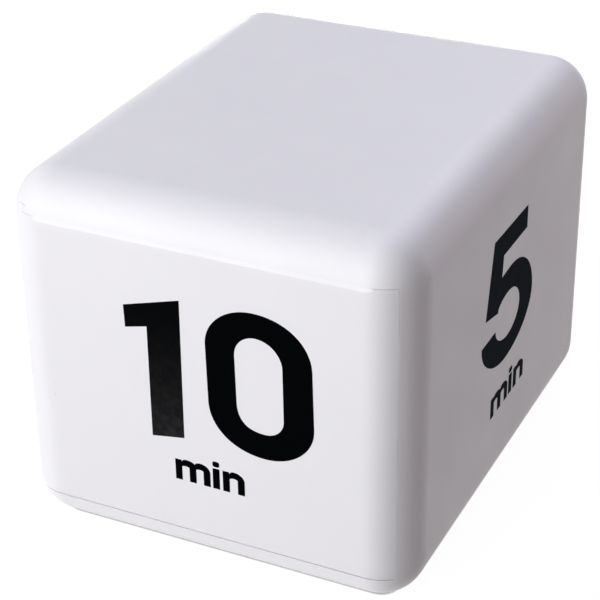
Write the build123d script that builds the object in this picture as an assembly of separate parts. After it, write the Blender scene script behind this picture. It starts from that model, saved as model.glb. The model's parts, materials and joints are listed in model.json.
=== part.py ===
"""Preset countdown timer in a rounded block, made of separate named pieces.

X runs across the front, Y from the front cover to the back, Z up.
The origin is the middle of the underside, and lengths are in millimetres.
"""
import math
import os

from build123d import *

# Case shell
case_width = 60.0
case_depth = 74.4
case_height = 55.0
edge_radius = 6.5
wall = 2.2

# Front cover and the rails that it slides in
cover_margin = 5.3
cover_thickness = 1.5
cover_gap = 0.06
seam_bevel = 0.15
seam_slope = 20.0
seam_slope_drop = 0.65
tongue_height = 1.0
tongue_thickness = 0.6
rail_thickness = 1.8
frame_lip = 1.2

# Base panel in the underside
panel_inset = 1.0
panel_thickness = 2.0
panel_gap = 0.15
panel_corner = 3.0
panel_edge_bevel = 0.2
ledge_width = 3.0
ledge_thickness = 1.6
boss_inset = 4.2
boss_radius = 2.9
boss_height = 8.0

# Screws
stud_sides = 12
screw_head_radius = 1.8
screw_head_height = 1.2
screw_core_radius = 0.85
screw_recess_width = 0.5
screw_recess_length = 2.0
screw_recess_depth = 0.6
screw_clear = 0.25
pilot_fit = 0.05
head_inset = 0.2
panel_screw_length = 7.0
board_screw_length = 4.5
tray_screw_length = 7.0

# Display
view_side = 3.0
view_end = 3.5
view_corner = 0.8
lens_lip = 2.0
lens_thickness = 1.2
lens_inset = 0.15
lens_fit = 0.1
lcd_fit = 0.2
glass_thickness = 1.1
lcd_ledge = 2.2
holder_wall = 1.4
holder_side_clear = 1.4
holder_end_clear = 1.2
strip_width = 1.6
strip_end = 2.2

# Circuit board and what sits on it, with places as shares of its width and length
board_lift = 5.0
board_thickness = 1.6
board_clear = 0.4
board_corner = 1.0
post_inset = 2.8
post_radius = 2.2
blob_share = (0.0, 0.02)
blob_radius = 4.0
blob_height = 1.6
blob_profile_shares = ((1.0, 0.0), (0.86, 0.5), (0.5, 0.87), (0.0, 1.0))
crystal_share = (0.3, -0.06)
crystal_radius = 1.0
crystal_length = 6.0
crystal_lead_width = 0.4
crystal_lead_length = 2.0
crystal_lead_gap = 1.0
solder_lift = 0.1
filter_share = (-0.32, -0.19)
filter_radius = 2.5
filter_height = 7.0
filter_bevel = 0.4
chip_length = 2.0
chip_width = 1.25
chip_height = 0.7
capacitor_shares = ((-0.06, -0.14), (0.05, -0.14), (0.16, -0.14), (-0.06, -0.19))
resistor_shares = ((0.05, -0.19), (0.16, -0.19), (-0.06, -0.24), (0.05, -0.24), (0.16, -0.24))

# Power switch, which shares a row behind the front posts with the sounder
row_reach = 10.0
switch_share = 0.2
switch_travel = 3.0
switch_body_length = 8.6
switch_body_width = 4.2
switch_body_height = 3.4
switch_pocket_depth = 1.5
lever_length = 2.0
lever_width = 1.6
lever_clear = 0.2
lever_grip = 1.6
button_length = 5.0
button_width = 4.0
button_flange = 1.2
button_flange_thickness = 0.9
button_inset = 0.3
button_clear = 0.2
button_lift = 0.1
ridge_width = 0.5
ridge_depth = 0.3
ridge_count = 4
finger_length = 14.0
finger_width = 8.0
finger_depth = 0.9
finger_corner = 1.5

# Sounder
piezo_share = -0.19
piezo_radius = 6.0
piezo_thickness = 0.25
ceramic_radius = 4.0
ceramic_thickness = 0.25
piezo_seat = 1.2
piezo_seat_height = 0.8
piezo_rim = 0.9
piezo_rim_height = 1.0
piezo_fit = 0.15
sound_hole_radius = 0.7
sound_ring_radius = 3.2
sound_hole_count = 6
piezo_lead_radius = 0.35
piezo_lead_inset = 1.2

# Ball switches that feel which side is up
tilt_share = (0.2167, 0.25)
tilt_turn = 45.0
can_radius = 1.7
can_length = 6.0
can_wall = 0.35
can_lift = 0.1
ball_radius = 1.1
ball_gap = 0.2
tilt_base_thickness = 0.8
tilt_pin_width = 0.4
tilt_pin_run = 1.0
tilt_pin_spread = 0.8

# Cells and their tray, which fill the bay behind the cover's window
cell_bevel = 0.4
nub_radius = 1.9
nub_height = 1.0
cell_fit = 0.25
cell_gap = 1.7
tray_wall = 1.4
tray_clear = 0.8
tray_setback = 0.6
cell_setback = 0.4
bay_clear = 1.25
bay_spare = 4.75
ear_width = 6.4
ear_height = 6.0
ear_thickness = 2.2
ear_inset = 1.0
ear_boss_depth = 8.0
shelf_thickness = 2.0
shelf_reach = 3.0

# Sheet contacts and coil springs
contact_thickness = 0.4
contact_margin = 0.85
contact_slack = 0.05
tab_width = 3.0
tab_length = 3.0
tab_fit = 0.2
spring_length = 3.4
spring_share = 0.57
spring_wire_radius = 0.28
spring_turns = 2.5
spring_seat = 0.06
wire_sides = 5

# Leads
lead_radius = 0.6
lead_bend = 1.4
lead_lift = 3.0
lead_share = 0.383
red_run = 7.0
black_run = 4.5
lead_sides = 6

# Working allowances
overrun = 2.0
touch = 0.02

# Levels and places that follow from the sizes
front = -case_depth / 2
cover_low = cover_margin
cover_high = case_height - cover_margin
cover_back = front + cover_thickness
frame_front = cover_back + cover_gap
frame_back = frame_front + rail_thickness
cavity_half = case_width / 2 - wall
cavity_bevel = (edge_radius - wall) * (2 - math.sqrt(2))
floor_level = panel_thickness + ledge_thickness
rail_end = case_width / 2 - edge_radius
window_half = cavity_half - frame_lip
panel_width = case_width - 2 * (edge_radius + panel_inset)
panel_length = case_depth - 2 * (edge_radius + panel_inset)
boss_x = panel_width / 2 - boss_inset
boss_y = panel_length / 2 - boss_inset
board_width = panel_width - 2 * (boss_inset + boss_radius + board_clear)
board_length = panel_length - 2 * (ledge_width + board_clear)
board_level = panel_thickness + board_lift
board_top = board_level + board_thickness
post_x = board_width / 2 - post_inset
post_y = board_length / 2 - post_inset
row_y = row_reach - post_y
switch_place = (switch_share * panel_width, row_y)
piezo_place = (piezo_share * panel_width, row_y)
rim_radius = piezo_radius + piezo_fit + piezo_rim
holder_front = row_y + rim_radius + holder_end_clear
holder_back = post_y - post_radius - holder_end_clear
lcd_y = (holder_front + holder_back) / 2
lcd_length = holder_back - holder_front - 2 * (holder_wall + lcd_fit)
lcd_width = panel_width - 2 * (ledge_width + holder_side_clear + holder_wall + lcd_fit)
view_width = lcd_width - 2 * view_side
view_length = lcd_length - 2 * view_end
lens_width = view_width + 2 * lens_lip
lens_length = view_length + 2 * lens_lip
button_tip = button_inset
button_top = panel_thickness + button_lift + button_flange_thickness
switch_face = board_level - switch_body_height
slot_length = button_length + switch_travel + 2 * button_clear
slot_width = button_width + 2 * button_clear
can_level = board_top + can_lift + can_radius
bore_radius = can_radius - can_wall
bore_length = can_length - can_wall
ball_range = bore_length - 2 * (ball_radius + ball_gap)
tray_half = window_half - tray_clear
tray_inner = 2 * (tray_half - tray_wall)
tray_low = panel_thickness + boss_height + bay_clear
tray_high = cover_high - frame_lip - bay_spare - ear_height
channel_radius = (tray_high - tray_low - cell_gap - 2 * tray_wall) / 4
cell_radius = channel_radius - cell_fit
cell_length = tray_inner - spring_length - 2 * (contact_thickness + contact_slack)
tray_front = frame_front + tray_setback
cell_y = tray_front + cell_setback + cell_radius
tray_back = cell_y + channel_radius + tray_wall
lower_z = tray_low + tray_wall + channel_radius
upper_z = tray_high - tray_wall - channel_radius
contact_half = cell_radius - contact_margin
spring_radius = spring_share * cell_radius
ear_x = tray_half - ear_inset - ear_width / 2
ear_z = tray_high + ear_height / 2
contact_face = tray_inner / 2 - contact_thickness
tab_end = tray_back + tab_length
spring_pitch = (spring_length - 2 * (spring_wire_radius + spring_seat)) / spring_turns

UPRIGHT = (Align.CENTER, Align.CENTER, Align.MIN)


def block(xs, ys, zs):
    """A box between two limits on each axis."""
    size = [high - low for low, high in (xs, ys, zs)]
    middle = [(high + low) / 2 for low, high in (xs, ys, zs)]
    return Pos(*middle) * Box(*size)


def rod(radius, start, end):
    """A round bar between two points."""
    way = Vector(*end) - Vector(*start)
    return Plane(origin=start, z_dir=way) * Cylinder(radius, way.length, align=UPRIGHT)


def stud(radius, start, end):
    """A bar with a few flat sides between two points, for small round features that repeat."""
    way = Vector(*end) - Vector(*start)
    return Plane(origin=start, z_dir=way) * extrude(RegularPolygon(radius, stud_sides), way.length)


def tile(width, length, corner, low, high):
    """A rounded rectangle on the vertical axis between two levels."""
    outline = RectangleRounded(width, length, corner)
    return Pos(0, 0, low) * extrude(outline, high - low)


def four_places(x, y):
    """The four corners of a rectangle about the vertical axis."""
    return [(side * x, end * y) for side in (-1, 1) for end in (-1, 1)]


def screw(length):
    """A cross-recess screw: head under the origin plane, shank up from it."""
    head = stud(screw_head_radius, (0, 0, -screw_head_height), (0, 0, 0))
    shank = stud(screw_core_radius, (0, 0, 0), (0, 0, length))
    slot = Box(screw_recess_length, screw_recess_width, 2 * screw_recess_depth)
    recess = slot + Rot(0, 0, 90) * slot
    return head + shank - Pos(0, 0, -screw_head_height) * recess


def rounded_case():
    """The outer form that the shell and the cover share."""
    body = Pos(0, 0, case_height / 2) * Box(case_width, case_depth, case_height)
    return fillet(body.edges(), edge_radius)


def cover_space():
    """What is cut from the shell for the cover: its slot, its grooves and the window behind it."""
    across = (-case_width / 2 - overrun, case_width / 2 + overrun)
    slot = block(across, (front - overrun, frame_front), (cover_low - cover_gap, cover_high + cover_gap))
    reach = tongue_height + cover_gap
    grooves = block(
        (-case_width / 2 - overrun, rail_end),
        (cover_back - tongue_thickness - cover_gap, frame_front),
        (cover_low - reach, cover_high + reach),
    )
    window = block(
        (-window_half, window_half),
        (front, frame_back + edge_radius),
        (cover_low + frame_lip, cover_high - frame_lip),
    )
    return slot + grooves + window


def panel_space():
    """What is cut from the underside for the base panel, with a ledge left round it."""
    rebate = tile(
        panel_width + 2 * panel_gap,
        panel_length + 2 * panel_gap,
        panel_corner + panel_gap,
        -overrun,
        panel_thickness,
    )
    through = tile(
        panel_width - 2 * ledge_width,
        panel_length - 2 * ledge_width,
        panel_corner,
        0,
        floor_level + overrun,
    )
    return rebate + through


def panel_bosses():
    """The four screw posts that stand on the ledge."""
    top = panel_thickness + boss_height
    return Part() + [
        stud(boss_radius, (x, y, panel_thickness), (x, y, top)) for x, y in four_places(boss_x, boss_y)
    ]


def tray_supports():
    """Shelves under the tray and the blocks that its ears are screwed to."""
    supports = Part()
    for side in (-1, 1):
        shelf_xs = sorted((side * (tray_half - shelf_reach), side * (cavity_half + wall / 4)))
        block_xs = sorted((side * (ear_x - ear_width / 2), side * (cavity_half + wall / 2)))
        supports += block(
            shelf_xs,
            (frame_back, tray_back),
            (tray_low - shelf_thickness, tray_low),
        )
        supports += block(
            block_xs,
            (tray_back, tray_back + ear_boss_depth),
            (ear_z - ear_height / 2, ear_z + ear_height / 2),
        )
    return supports


def pilot_holes():
    """Screw holes in the shell."""
    radius = screw_core_radius + pilot_fit
    holes = [
        stud(radius, (x, y, 0), (x, y, panel_thickness + boss_height)) for x, y in four_places(boss_x, boss_y)
    ]
    for x in (-ear_x, ear_x):
        holes.append(stud(radius, (x, tray_back - overrun, ear_z), (x, tray_back + tray_screw_length, ear_z)))
    return Part() + holes


def on_level(shape, level):
    """The edges of a shape that lie outside, in front, at one level."""
    chosen = []
    for edge in shape.edges():
        box = edge.bounding_box()
        flat = abs(box.min.Z - level) < touch and abs(box.max.Z - level) < touch
        if flat and box.min.Y < front + cover_thickness / 2:
            chosen.append(edge)
    return chosen


def make_case_shell():
    """The moulded body: five faces in one piece, rails in front, ledge and bosses below."""
    inside = block(
        (-cavity_half, cavity_half),
        (frame_back, case_depth / 2 - wall),
        (floor_level, case_height - wall),
    )
    inside = chamfer(inside.edges(), cavity_bevel)
    shell = rounded_case() - inside - cover_space() - panel_space()
    return shell + panel_bosses() + tray_supports() - pilot_holes()


def make_front_cover():
    """The front face: a plate that slides off sideways, with a tongue along its top and bottom edges."""
    form = rounded_case()
    half = case_width / 2
    plate = form & block((-half, half), (front, cover_back), (cover_low, cover_high))
    plate = chamfer(on_level(plate, cover_low), seam_bevel)
    wedge = block((-half, half), (-overrun, 0), (0, overrun))
    plate -= Pos(0, front, cover_high - seam_slope_drop) * Rot(-seam_slope, 0, 0) * wedge
    tongues = form & block(
        (-half, rail_end - cover_gap),
        (cover_back - tongue_thickness, cover_back),
        (cover_low - tongue_height, cover_high + tongue_height),
    )
    return plate + tongues


def make_base_panel():
    """The flush underside panel with the display window, finger recess, sound holes and inner posts."""
    panel = tile(panel_width, panel_length, panel_corner, 0, panel_thickness)
    panel = chamfer(panel.edges().group_by(Axis.Z)[0], panel_edge_bevel)
    posts = [
        stud(post_radius, (x, y, panel_thickness), (x, y, board_level))
        for x, y in four_places(post_x, post_y)
    ]
    seat_height = panel_thickness + piezo_seat_height
    rim = Pos(*piezo_place) * Cylinder(rim_radius, seat_height + piezo_rim_height, align=UPRIGHT)
    pit = Pos(*piezo_place, seat_height) * Cylinder(piezo_radius + piezo_fit, board_lift, align=UPRIGHT)
    well = Pos(*piezo_place, panel_thickness) * Cylinder(piezo_radius - piezo_seat, board_lift, align=UPRIGHT)
    panel = panel + posts + (rim - pit - well)
    lens_hole = tile(
        lens_width + 2 * lens_fit,
        lens_length + 2 * lens_fit,
        view_corner + lens_lip,
        -overrun,
        lens_inset + lens_thickness,
    )
    view = tile(view_width, view_length, view_corner, 0, panel_thickness + touch)
    panel -= Pos(0, lcd_y, 0) * (lens_hole + view)
    finger = tile(finger_length, finger_width, finger_corner, -overrun, finger_depth)
    slot = Box(slot_length, slot_width, panel_thickness + touch, align=UPRIGHT)
    panel -= Pos(*switch_place) * (finger + slot)
    ring = PolarLocations(sound_ring_radius, sound_hole_count).locations
    sound_hole = stud(sound_hole_radius, (0, 0, 0), (0, 0, panel_thickness))
    for place in ring + [Location()]:
        panel -= Pos(*piezo_place) * place * sound_hole
    sink = Cylinder(screw_head_radius + screw_clear, head_inset + screw_head_height, align=UPRIGHT)
    passage = stud(screw_core_radius + screw_clear, (0, 0, 0), (0, 0, panel_thickness))
    for x, y in four_places(boss_x, boss_y):
        panel -= Pos(x, y, 0) * (sink + passage)
    pilot_end = board_top - board_screw_length
    for x, y in four_places(post_x, post_y):
        panel -= stud(screw_core_radius + pilot_fit, (x, y, pilot_end), (x, y, board_top))
    return panel


def make_display():
    """The lens, the liquid crystal cell, its holder and the two contact strips."""
    lens_corner = view_corner + lens_lip - lens_fit
    lens = tile(lens_width, lens_length, lens_corner, lens_inset, lens_inset + lens_thickness)
    half_width = lcd_width / 2
    half_length = lcd_length / 2
    ledge_level = panel_thickness + glass_thickness
    glass = block((-half_width, half_width), (-half_length, half_length), (panel_thickness, ledge_level))
    glass += block(
        (-half_width, half_width),
        (lcd_ledge - half_length, half_length - lcd_ledge),
        (ledge_level, ledge_level + glass_thickness),
    )
    inner_width = lcd_width + 2 * lcd_fit
    inner_length = lcd_length + 2 * lcd_fit
    middle = (panel_thickness + board_level) / 2
    holder = Box(inner_width + 2 * holder_wall, inner_length + 2 * holder_wall, board_lift)
    holder = Pos(0, 0, middle) * (holder - Box(inner_width, inner_length, board_lift))
    strips = Part()
    for side in (-1, 1):
        y = side * (half_length - lcd_ledge / 2)
        strips += block(
            (strip_end - half_width, half_width - strip_end),
            (y - strip_width / 2, y + strip_width / 2),
            (ledge_level, board_level),
        )
    named = {"display_lens": lens, "lcd_glass": glass, "lcd_holder": holder, "contact_strips": strips}
    return {name: Pos(0, lcd_y, 0) * shape for name, shape in named.items()}


def make_board():
    """The bare board with its four screw holes."""
    board = tile(board_width, board_length, board_corner, board_level, board_top)
    for x, y in four_places(post_x, post_y):
        board -= stud(screw_core_radius + screw_clear, (x, y, board_level), (x, y, board_top))
    return board


def on_board(share):
    """A place on the board, from its shares of the width and length."""
    across, along = share
    return Pos(across * board_width, along * board_length, board_top)


def make_board_parts():
    """The fixed parts that are soldered on the upper face of the board."""
    profile = [(across * blob_radius, up * blob_height) for across, up in blob_profile_shares]
    dome = revolve(Plane.XZ * make_face(Polyline((0, 0), *profile, close=True)), Axis.Z)
    axis_level = crystal_radius + solder_lift
    can_end = -crystal_length / 2
    lead_end = can_end - crystal_lead_length
    half = crystal_lead_width / 2
    crystal = rod(crystal_radius, (0, can_end, axis_level), (0, -can_end, axis_level))
    for side in (-1, 1):
        x = side * crystal_lead_gap / 2
        xs = (x - half, x + half)
        crystal += block(xs, (lead_end - half, can_end), (axis_level - half, axis_level + half))
        crystal += block(xs, (lead_end - half, lead_end + half), (0, axis_level))
    drum = Cylinder(filter_radius, filter_height, align=UPRIGHT)
    drum = chamfer(drum.edges().group_by(Axis.Z)[-1], filter_bevel)
    chip = Box(chip_length, chip_width, chip_height, align=UPRIGHT)
    return {
        "controller_blob": on_board(blob_share) * dome,
        "quartz_crystal": on_board(crystal_share) * crystal,
        "filter_capacitor": on_board(filter_share) * drum,
        "chip_capacitors": Part() + [on_board(share) * chip for share in capacitor_shares],
        "chip_resistors": Part() + [on_board(share) * chip for share in resistor_shares],
    }


def make_switch():
    """The slide switch under the board, its lever, and the outer button that moves with it."""
    start = -switch_travel / 2
    pocket_half = (lever_length + switch_travel) / 2 + lever_clear
    body = block(
        (-switch_body_length / 2, switch_body_length / 2),
        (-switch_body_width / 2, switch_body_width / 2),
        (switch_face, board_level),
    )
    body -= block(
        (-pocket_half, pocket_half),
        (-lever_width / 2 - lever_clear, lever_width / 2 + lever_clear),
        (switch_face, switch_face + switch_pocket_depth),
    )
    lever_low = button_top - lever_grip
    lever = block(
        (start - lever_length / 2, start + lever_length / 2),
        (-lever_width / 2, lever_width / 2),
        (lever_low, switch_face + switch_pocket_depth - lever_clear),
    )
    flange_length = button_length + 2 * button_flange
    flange_width = button_width + 2 * button_flange
    flange = Box(flange_length, flange_width, button_flange_thickness, align=UPRIGHT)
    grip = Box(button_length, button_width, button_top - button_tip, align=UPRIGHT)
    button = Pos(0, 0, panel_thickness + button_lift) * flange + Pos(0, 0, button_tip) * grip
    button -= block(
        (-lever_length / 2 - lever_clear, lever_length / 2 + lever_clear),
        (-lever_width / 2 - lever_clear, lever_width / 2 + lever_clear),
        (lever_low - lever_clear, button_top),
    )
    step = button_length / (ridge_count + 1)
    for number in range(ridge_count):
        x = (number + 1) * step - button_length / 2
        button -= block(
            (x - ridge_width / 2, x + ridge_width / 2),
            (-button_width, button_width),
            (button_tip - ridge_depth, button_tip + ridge_depth),
        )
    named = {
        "power_switch_body": body,
        "power_switch_lever": lever,
        "switch_button": Pos(start, 0, 0) * button,
    }
    return {name: Pos(*switch_place) * shape for name, shape in named.items()}


def make_sounder():
    """The brass disc with its ceramic layer, and two leads up to the board."""
    seat = panel_thickness + piezo_seat_height
    ceramic_level = seat + piezo_thickness
    lead_level = ceramic_level + ceramic_thickness
    disc = Pos(0, 0, seat) * Cylinder(piezo_radius, piezo_thickness, align=UPRIGHT)
    ceramic = Pos(0, 0, ceramic_level) * Cylinder(ceramic_radius, ceramic_thickness, align=UPRIGHT)
    outer = piezo_radius - piezo_lead_inset
    leads = stud(piezo_lead_radius, (0, 0, lead_level), (0, 0, board_level))
    leads += stud(piezo_lead_radius, (outer, 0, ceramic_level), (outer, 0, board_level))
    named = {"piezo_disc": disc, "piezo_ceramic": ceramic, "piezo_leads": leads}
    return {name: Pos(*piezo_place) * shape for name, shape in named.items()}


def tilt_place(side):
    """Where a ball switch lies: its axis is local X, turned half way between the case's sides."""
    across, along = tilt_share
    return on_board((side * across, along)) * Pos(0, 0, can_level - board_top) * Rot(0, 0, -side * tilt_turn)


def make_tilt_switches():
    """Two ball switches: cans, plugs with pins, and the ball that rolls in each."""
    half = can_length / 2
    can = rod(can_radius, (-half, 0, 0), (half, 0, 0))
    can -= rod(bore_radius, (-half, 0, 0), (half - can_wall, 0, 0))
    base = rod(can_radius, (-half - tilt_base_thickness, 0, 0), (-half, 0, 0))
    pin_end = -half - tilt_base_thickness - tilt_pin_run
    pin_half = tilt_pin_width / 2
    for end in (-1, 1):
        ys = (end * tilt_pin_spread - pin_half, end * tilt_pin_spread + pin_half)
        base += block((pin_end - pin_half, -half), ys, (-pin_half, pin_half))
        base += block((pin_end - pin_half, pin_end + pin_half), ys, (board_top - can_level, pin_half))
    ball = Pos(ball_gap + ball_radius - half, 0, 0) * Sphere(ball_radius)
    return {
        "tilt_cans": Part() + [tilt_place(side) * can for side in (-1, 1)],
        "tilt_bases": Part() + [tilt_place(side) * base for side in (-1, 1)],
        "tilt_ball_left": tilt_place(-1) * ball,
        "tilt_ball_right": tilt_place(1) * ball,
    }


def make_battery_tray():
    """The open tray for two cells, with end slots for the contacts and two screw ears."""
    inner = tray_inner / 2
    tray = block((-tray_half, tray_half), (tray_front, tray_back), (tray_low, tray_high))
    for z in (lower_z, upper_z):
        tray -= rod(channel_radius, (-inner, cell_y, z), (inner, cell_y, z))
        tray -= block((-inner, inner), (tray_front, cell_y), (z - channel_radius, z + channel_radius))
        tray -= block(
            (inner - contact_thickness - tab_fit, inner),
            (cell_y, tray_back),
            (z - tab_width / 2 - tab_fit, z + tab_width / 2 + tab_fit),
        )
        for side in (-1, 1):
            xs = sorted((side * inner, side * (inner - contact_thickness - tab_fit)))
            reach = contact_half + tab_fit
            tray -= block(xs, (cell_y - reach, cell_y + reach), (z - reach, z + reach))
    tray -= block(
        (-inner, contact_thickness + tab_fit - inner),
        (cell_y - contact_half - tab_fit, cell_y + contact_half + tab_fit),
        (lower_z, upper_z),
    )
    for x in (-ear_x, ear_x):
        tray += block(
            (x - ear_width / 2, x + ear_width / 2),
            (tray_back - ear_thickness, tray_back),
            (tray_high - tray_wall, tray_high + ear_height),
        )
        tray -= stud(
            screw_core_radius + screw_clear,
            (x, tray_back - ear_thickness - overrun, ear_z),
            (x, tray_back, ear_z),
        )
    return tray


def make_cell():
    """One cell along X, positive end to the right, with its middle at the origin."""
    half = cell_length / 2
    body = rod(cell_radius, (-half, 0, 0), (half - nub_height, 0, 0))
    body = chamfer(body.edges().filter_by(GeomType.CIRCLE), cell_bevel)
    return body + rod(nub_radius, (0, 0, 0), (half, 0, 0))


def make_contacts():
    """The three sheet contacts: a bridge on the left, and two with tabs on the right."""
    ys = (cell_y - contact_half, cell_y + contact_half)
    right_xs = (contact_face, contact_face + contact_thickness)
    left_xs = (-contact_face - contact_thickness, -contact_face)
    named = {"contact_bridge": block(left_xs, ys, (lower_z - contact_half, upper_z + contact_half))}
    for name, z in (("contact_positive", upper_z), ("contact_negative", lower_z)):
        plate = block(right_xs, ys, (z - contact_half, z + contact_half))
        tab = block(right_xs, (cell_y, tab_end), (z - tab_width / 2, z + tab_width / 2))
        named[name] = plate + tab
    return named


def spring_point(share):
    """A point and the direction of a spring's centre line, at a share of its whole length."""
    angle = 2 * math.pi * spring_turns * share
    rise = spring_pitch / (2 * math.pi)
    point = Vector(rise * angle, spring_radius * math.cos(angle), spring_radius * math.sin(angle))
    way = Vector(rise, -spring_radius * math.sin(angle), spring_radius * math.cos(angle))
    return point, way.normalized()


def two_arcs(start, start_way, end, end_way):
    """Two arcs that join two points in the given directions and meet smoothly."""
    chord = end - start
    both = start_way + end_way
    square = 2 * (start_way.dot(end_way) - 1)
    cross = chord.dot(both)
    root = math.sqrt(cross**2 - square * chord.dot(chord))
    reach = (cross - root) / square
    first = start + start_way * reach
    second = end - end_way * reach
    middle = (first + second) * 0.5
    return [TangentArc(start, middle, tangent=start_way), TangentArc(middle, end, tangent=second - first)]


def make_spring():
    """One coil along +X from the origin plane, swept in one piece on quarter turns."""
    steps = round(spring_turns * 4)
    nodes = [spring_point(number / steps) for number in range(steps + 1)]
    arcs = []
    for (start, start_way), (end, end_way) in zip(nodes, nodes[1:]):
        arcs += two_arcs(start, start_way, end, end_way)
    path = Wire(arcs)
    section = Plane(origin=nodes[0][0], z_dir=nodes[0][1]) * RegularPolygon(spring_wire_radius, wire_sides)
    coil = sweep(section, path=path)
    return Pos(spring_wire_radius + spring_seat, 0, 0) * coil


def spring_self_gap():
    """The least gap between a spring's turns, measured on points of its centre line."""
    count = round(spring_turns * 72)
    points = [spring_point(number / count)[0] for number in range(count + 1)]
    apart = 36
    least = min(
        (points[a] - points[b]).length for a in range(len(points)) for b in range(a + apart, len(points))
    )
    return least - 2 * spring_wire_radius


def make_lead(start_z, run, level):
    """A lead from a contact tab, down behind the tray and across to its pad on the board."""
    x = contact_face + contact_thickness / 2
    pad_x = lead_share * board_width
    points = [
        (x, tab_end, start_z),
        (x, tab_end + run, start_z),
        (x, tab_end + run, level),
        (pad_x, tab_end + run, level),
        (pad_x, tab_end + run, board_top),
    ]
    path = FilletPolyline(*points, radius=lead_bend)
    section = Plane(origin=path @ 0, z_dir=path % 0) * RegularPolygon(lead_radius, lead_sides)
    return sweep(section, path=path)


def make_battery_bay():
    """The tray with its cells, contacts, springs and leads."""
    cell = make_cell()
    spring = make_spring()
    cell_shift = contact_face - contact_slack - cell_length / 2
    named = {
        "battery_tray": make_battery_tray(),
        "battery_upper": Pos(cell_shift, cell_y, upper_z) * cell,
        "battery_lower": Pos(-cell_shift, cell_y, lower_z) * Rot(0, 0, 180) * cell,
        "spring_upper": Pos(-contact_face, cell_y, upper_z) * spring,
        "spring_lower": Pos(contact_face, cell_y, lower_z) * Rot(0, 0, 180) * spring,
        "battery_lead_red": make_lead(upper_z, red_run, board_top + 2 * lead_lift),
        "battery_lead_black": make_lead(lower_z, black_run, board_top + lead_lift),
    }
    named.update(make_contacts())
    return named


def make_screws():
    """The three groups of screws."""
    panel_screw = Pos(0, 0, head_inset + screw_head_height) * screw(panel_screw_length)
    board_screw = Pos(0, 0, board_top) * Rot(180, 0, 0) * screw(board_screw_length)
    tray_screw = Pos(0, tray_back - ear_thickness, ear_z) * Rot(-90, 0, 0) * screw(tray_screw_length)
    return {
        "panel_screws": Part() + [Pos(x, y, 0) * panel_screw for x, y in four_places(boss_x, boss_y)],
        "board_screws": Part() + [Pos(x, y, 0) * board_screw for x, y in four_places(post_x, post_y)],
        "tray_screws": Part() + [Pos(side * ear_x, 0, 0) * tray_screw for side in (-1, 1)],
    }


def main():
    """Make every piece and write each to its own file."""
    pieces = {
        "case_shell": make_case_shell(),
        "front_cover": make_front_cover(),
        "base_panel": make_base_panel(),
        "circuit_board": make_board(),
    }
    for group in (
        make_display(),
        make_board_parts(),
        make_switch(),
        make_sounder(),
        make_tilt_switches(),
        make_battery_bay(),
        make_screws(),
    ):
        pieces.update(group)
    os.makedirs("parts", exist_ok=True)
    for name, shape in pieces.items():
        export_step(shape, f"parts/{name}.step")
    print(f"pieces {len(pieces)}, spring self gap {spring_self_gap():.2f} mm, ball range {ball_range:.2f} mm")


if __name__ == "__main__":
    main()
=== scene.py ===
"""Looks of a preset countdown timer: a white rounded block that counts from the side turned up.

Sizes in the classes are millimetres. Meshes are in metres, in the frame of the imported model.
"""

import json
import logging
import math
from collections.abc import Mapping, Sequence
from dataclasses import dataclass, field
from enum import Enum

import bmesh
import bpy
from bpy.types import NodeSocket, NodeTree
from mathutils import Matrix, Vector


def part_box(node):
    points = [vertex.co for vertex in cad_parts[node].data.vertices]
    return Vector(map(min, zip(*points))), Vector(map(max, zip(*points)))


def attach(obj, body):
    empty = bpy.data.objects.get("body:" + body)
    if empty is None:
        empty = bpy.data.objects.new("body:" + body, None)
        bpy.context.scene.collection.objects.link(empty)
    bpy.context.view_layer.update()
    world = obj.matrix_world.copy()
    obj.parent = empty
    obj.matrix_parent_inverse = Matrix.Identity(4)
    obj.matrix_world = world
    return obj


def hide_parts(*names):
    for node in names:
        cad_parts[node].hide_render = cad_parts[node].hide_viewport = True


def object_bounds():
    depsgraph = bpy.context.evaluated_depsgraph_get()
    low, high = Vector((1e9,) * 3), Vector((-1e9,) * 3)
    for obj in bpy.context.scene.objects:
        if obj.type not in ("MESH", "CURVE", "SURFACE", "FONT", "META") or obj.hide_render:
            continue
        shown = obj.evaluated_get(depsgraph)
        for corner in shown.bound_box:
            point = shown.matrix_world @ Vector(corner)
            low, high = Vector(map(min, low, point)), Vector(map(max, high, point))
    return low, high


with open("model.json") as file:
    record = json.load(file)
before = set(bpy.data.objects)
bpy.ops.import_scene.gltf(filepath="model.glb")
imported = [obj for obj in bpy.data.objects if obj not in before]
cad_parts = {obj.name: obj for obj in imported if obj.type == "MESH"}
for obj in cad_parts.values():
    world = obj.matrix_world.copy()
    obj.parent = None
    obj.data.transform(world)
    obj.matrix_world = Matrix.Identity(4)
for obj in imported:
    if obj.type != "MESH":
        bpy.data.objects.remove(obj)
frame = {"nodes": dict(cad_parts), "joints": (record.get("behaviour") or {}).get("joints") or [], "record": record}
CAD_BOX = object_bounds()

LOG = logging.getLogger("preset_timer")
MM = 0.001
ROUND_HANDLE = 0.5523  # share of a quarter's reach that makes its two handles a circle
CURVE_STEPS = 20  # straight steps in each stretch of a curved outline
BEVEL_STEPS = 2
SHARP_ANGLE = math.radians(35)
MERGE_DISTANCE = 1e-7  # metres between points that are one
FLAT_DISTANCE = 1e-6  # metres under which an edge only makes a flat face
NOISE_LOW, NOISE_HIGH = 0.25, 0.75  # nearly all of a noise pattern lies between these
BLOTCH_DETAIL = 3.0
GRAIN_DETAIL = 2.0


def linear(colour: str) -> tuple[float, float, float, float]:
    """Turn an sRGB hex colour into linear light.

    Args:
        colour: Six hex digits after a hash sign.

    Returns:
        Red, green, blue and an alpha of one.
    """
    shares = [int(colour[at:at + 2], 16) / 255 for at in (1, 3, 5)]
    # The sRGB curve: straight near black, then a power
    light = [share / 12.92 if share <= 0.04045 else ((share + 0.055) / 1.055) ** 2.4 for share in shares]
    return (*light, 1.0)


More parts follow.
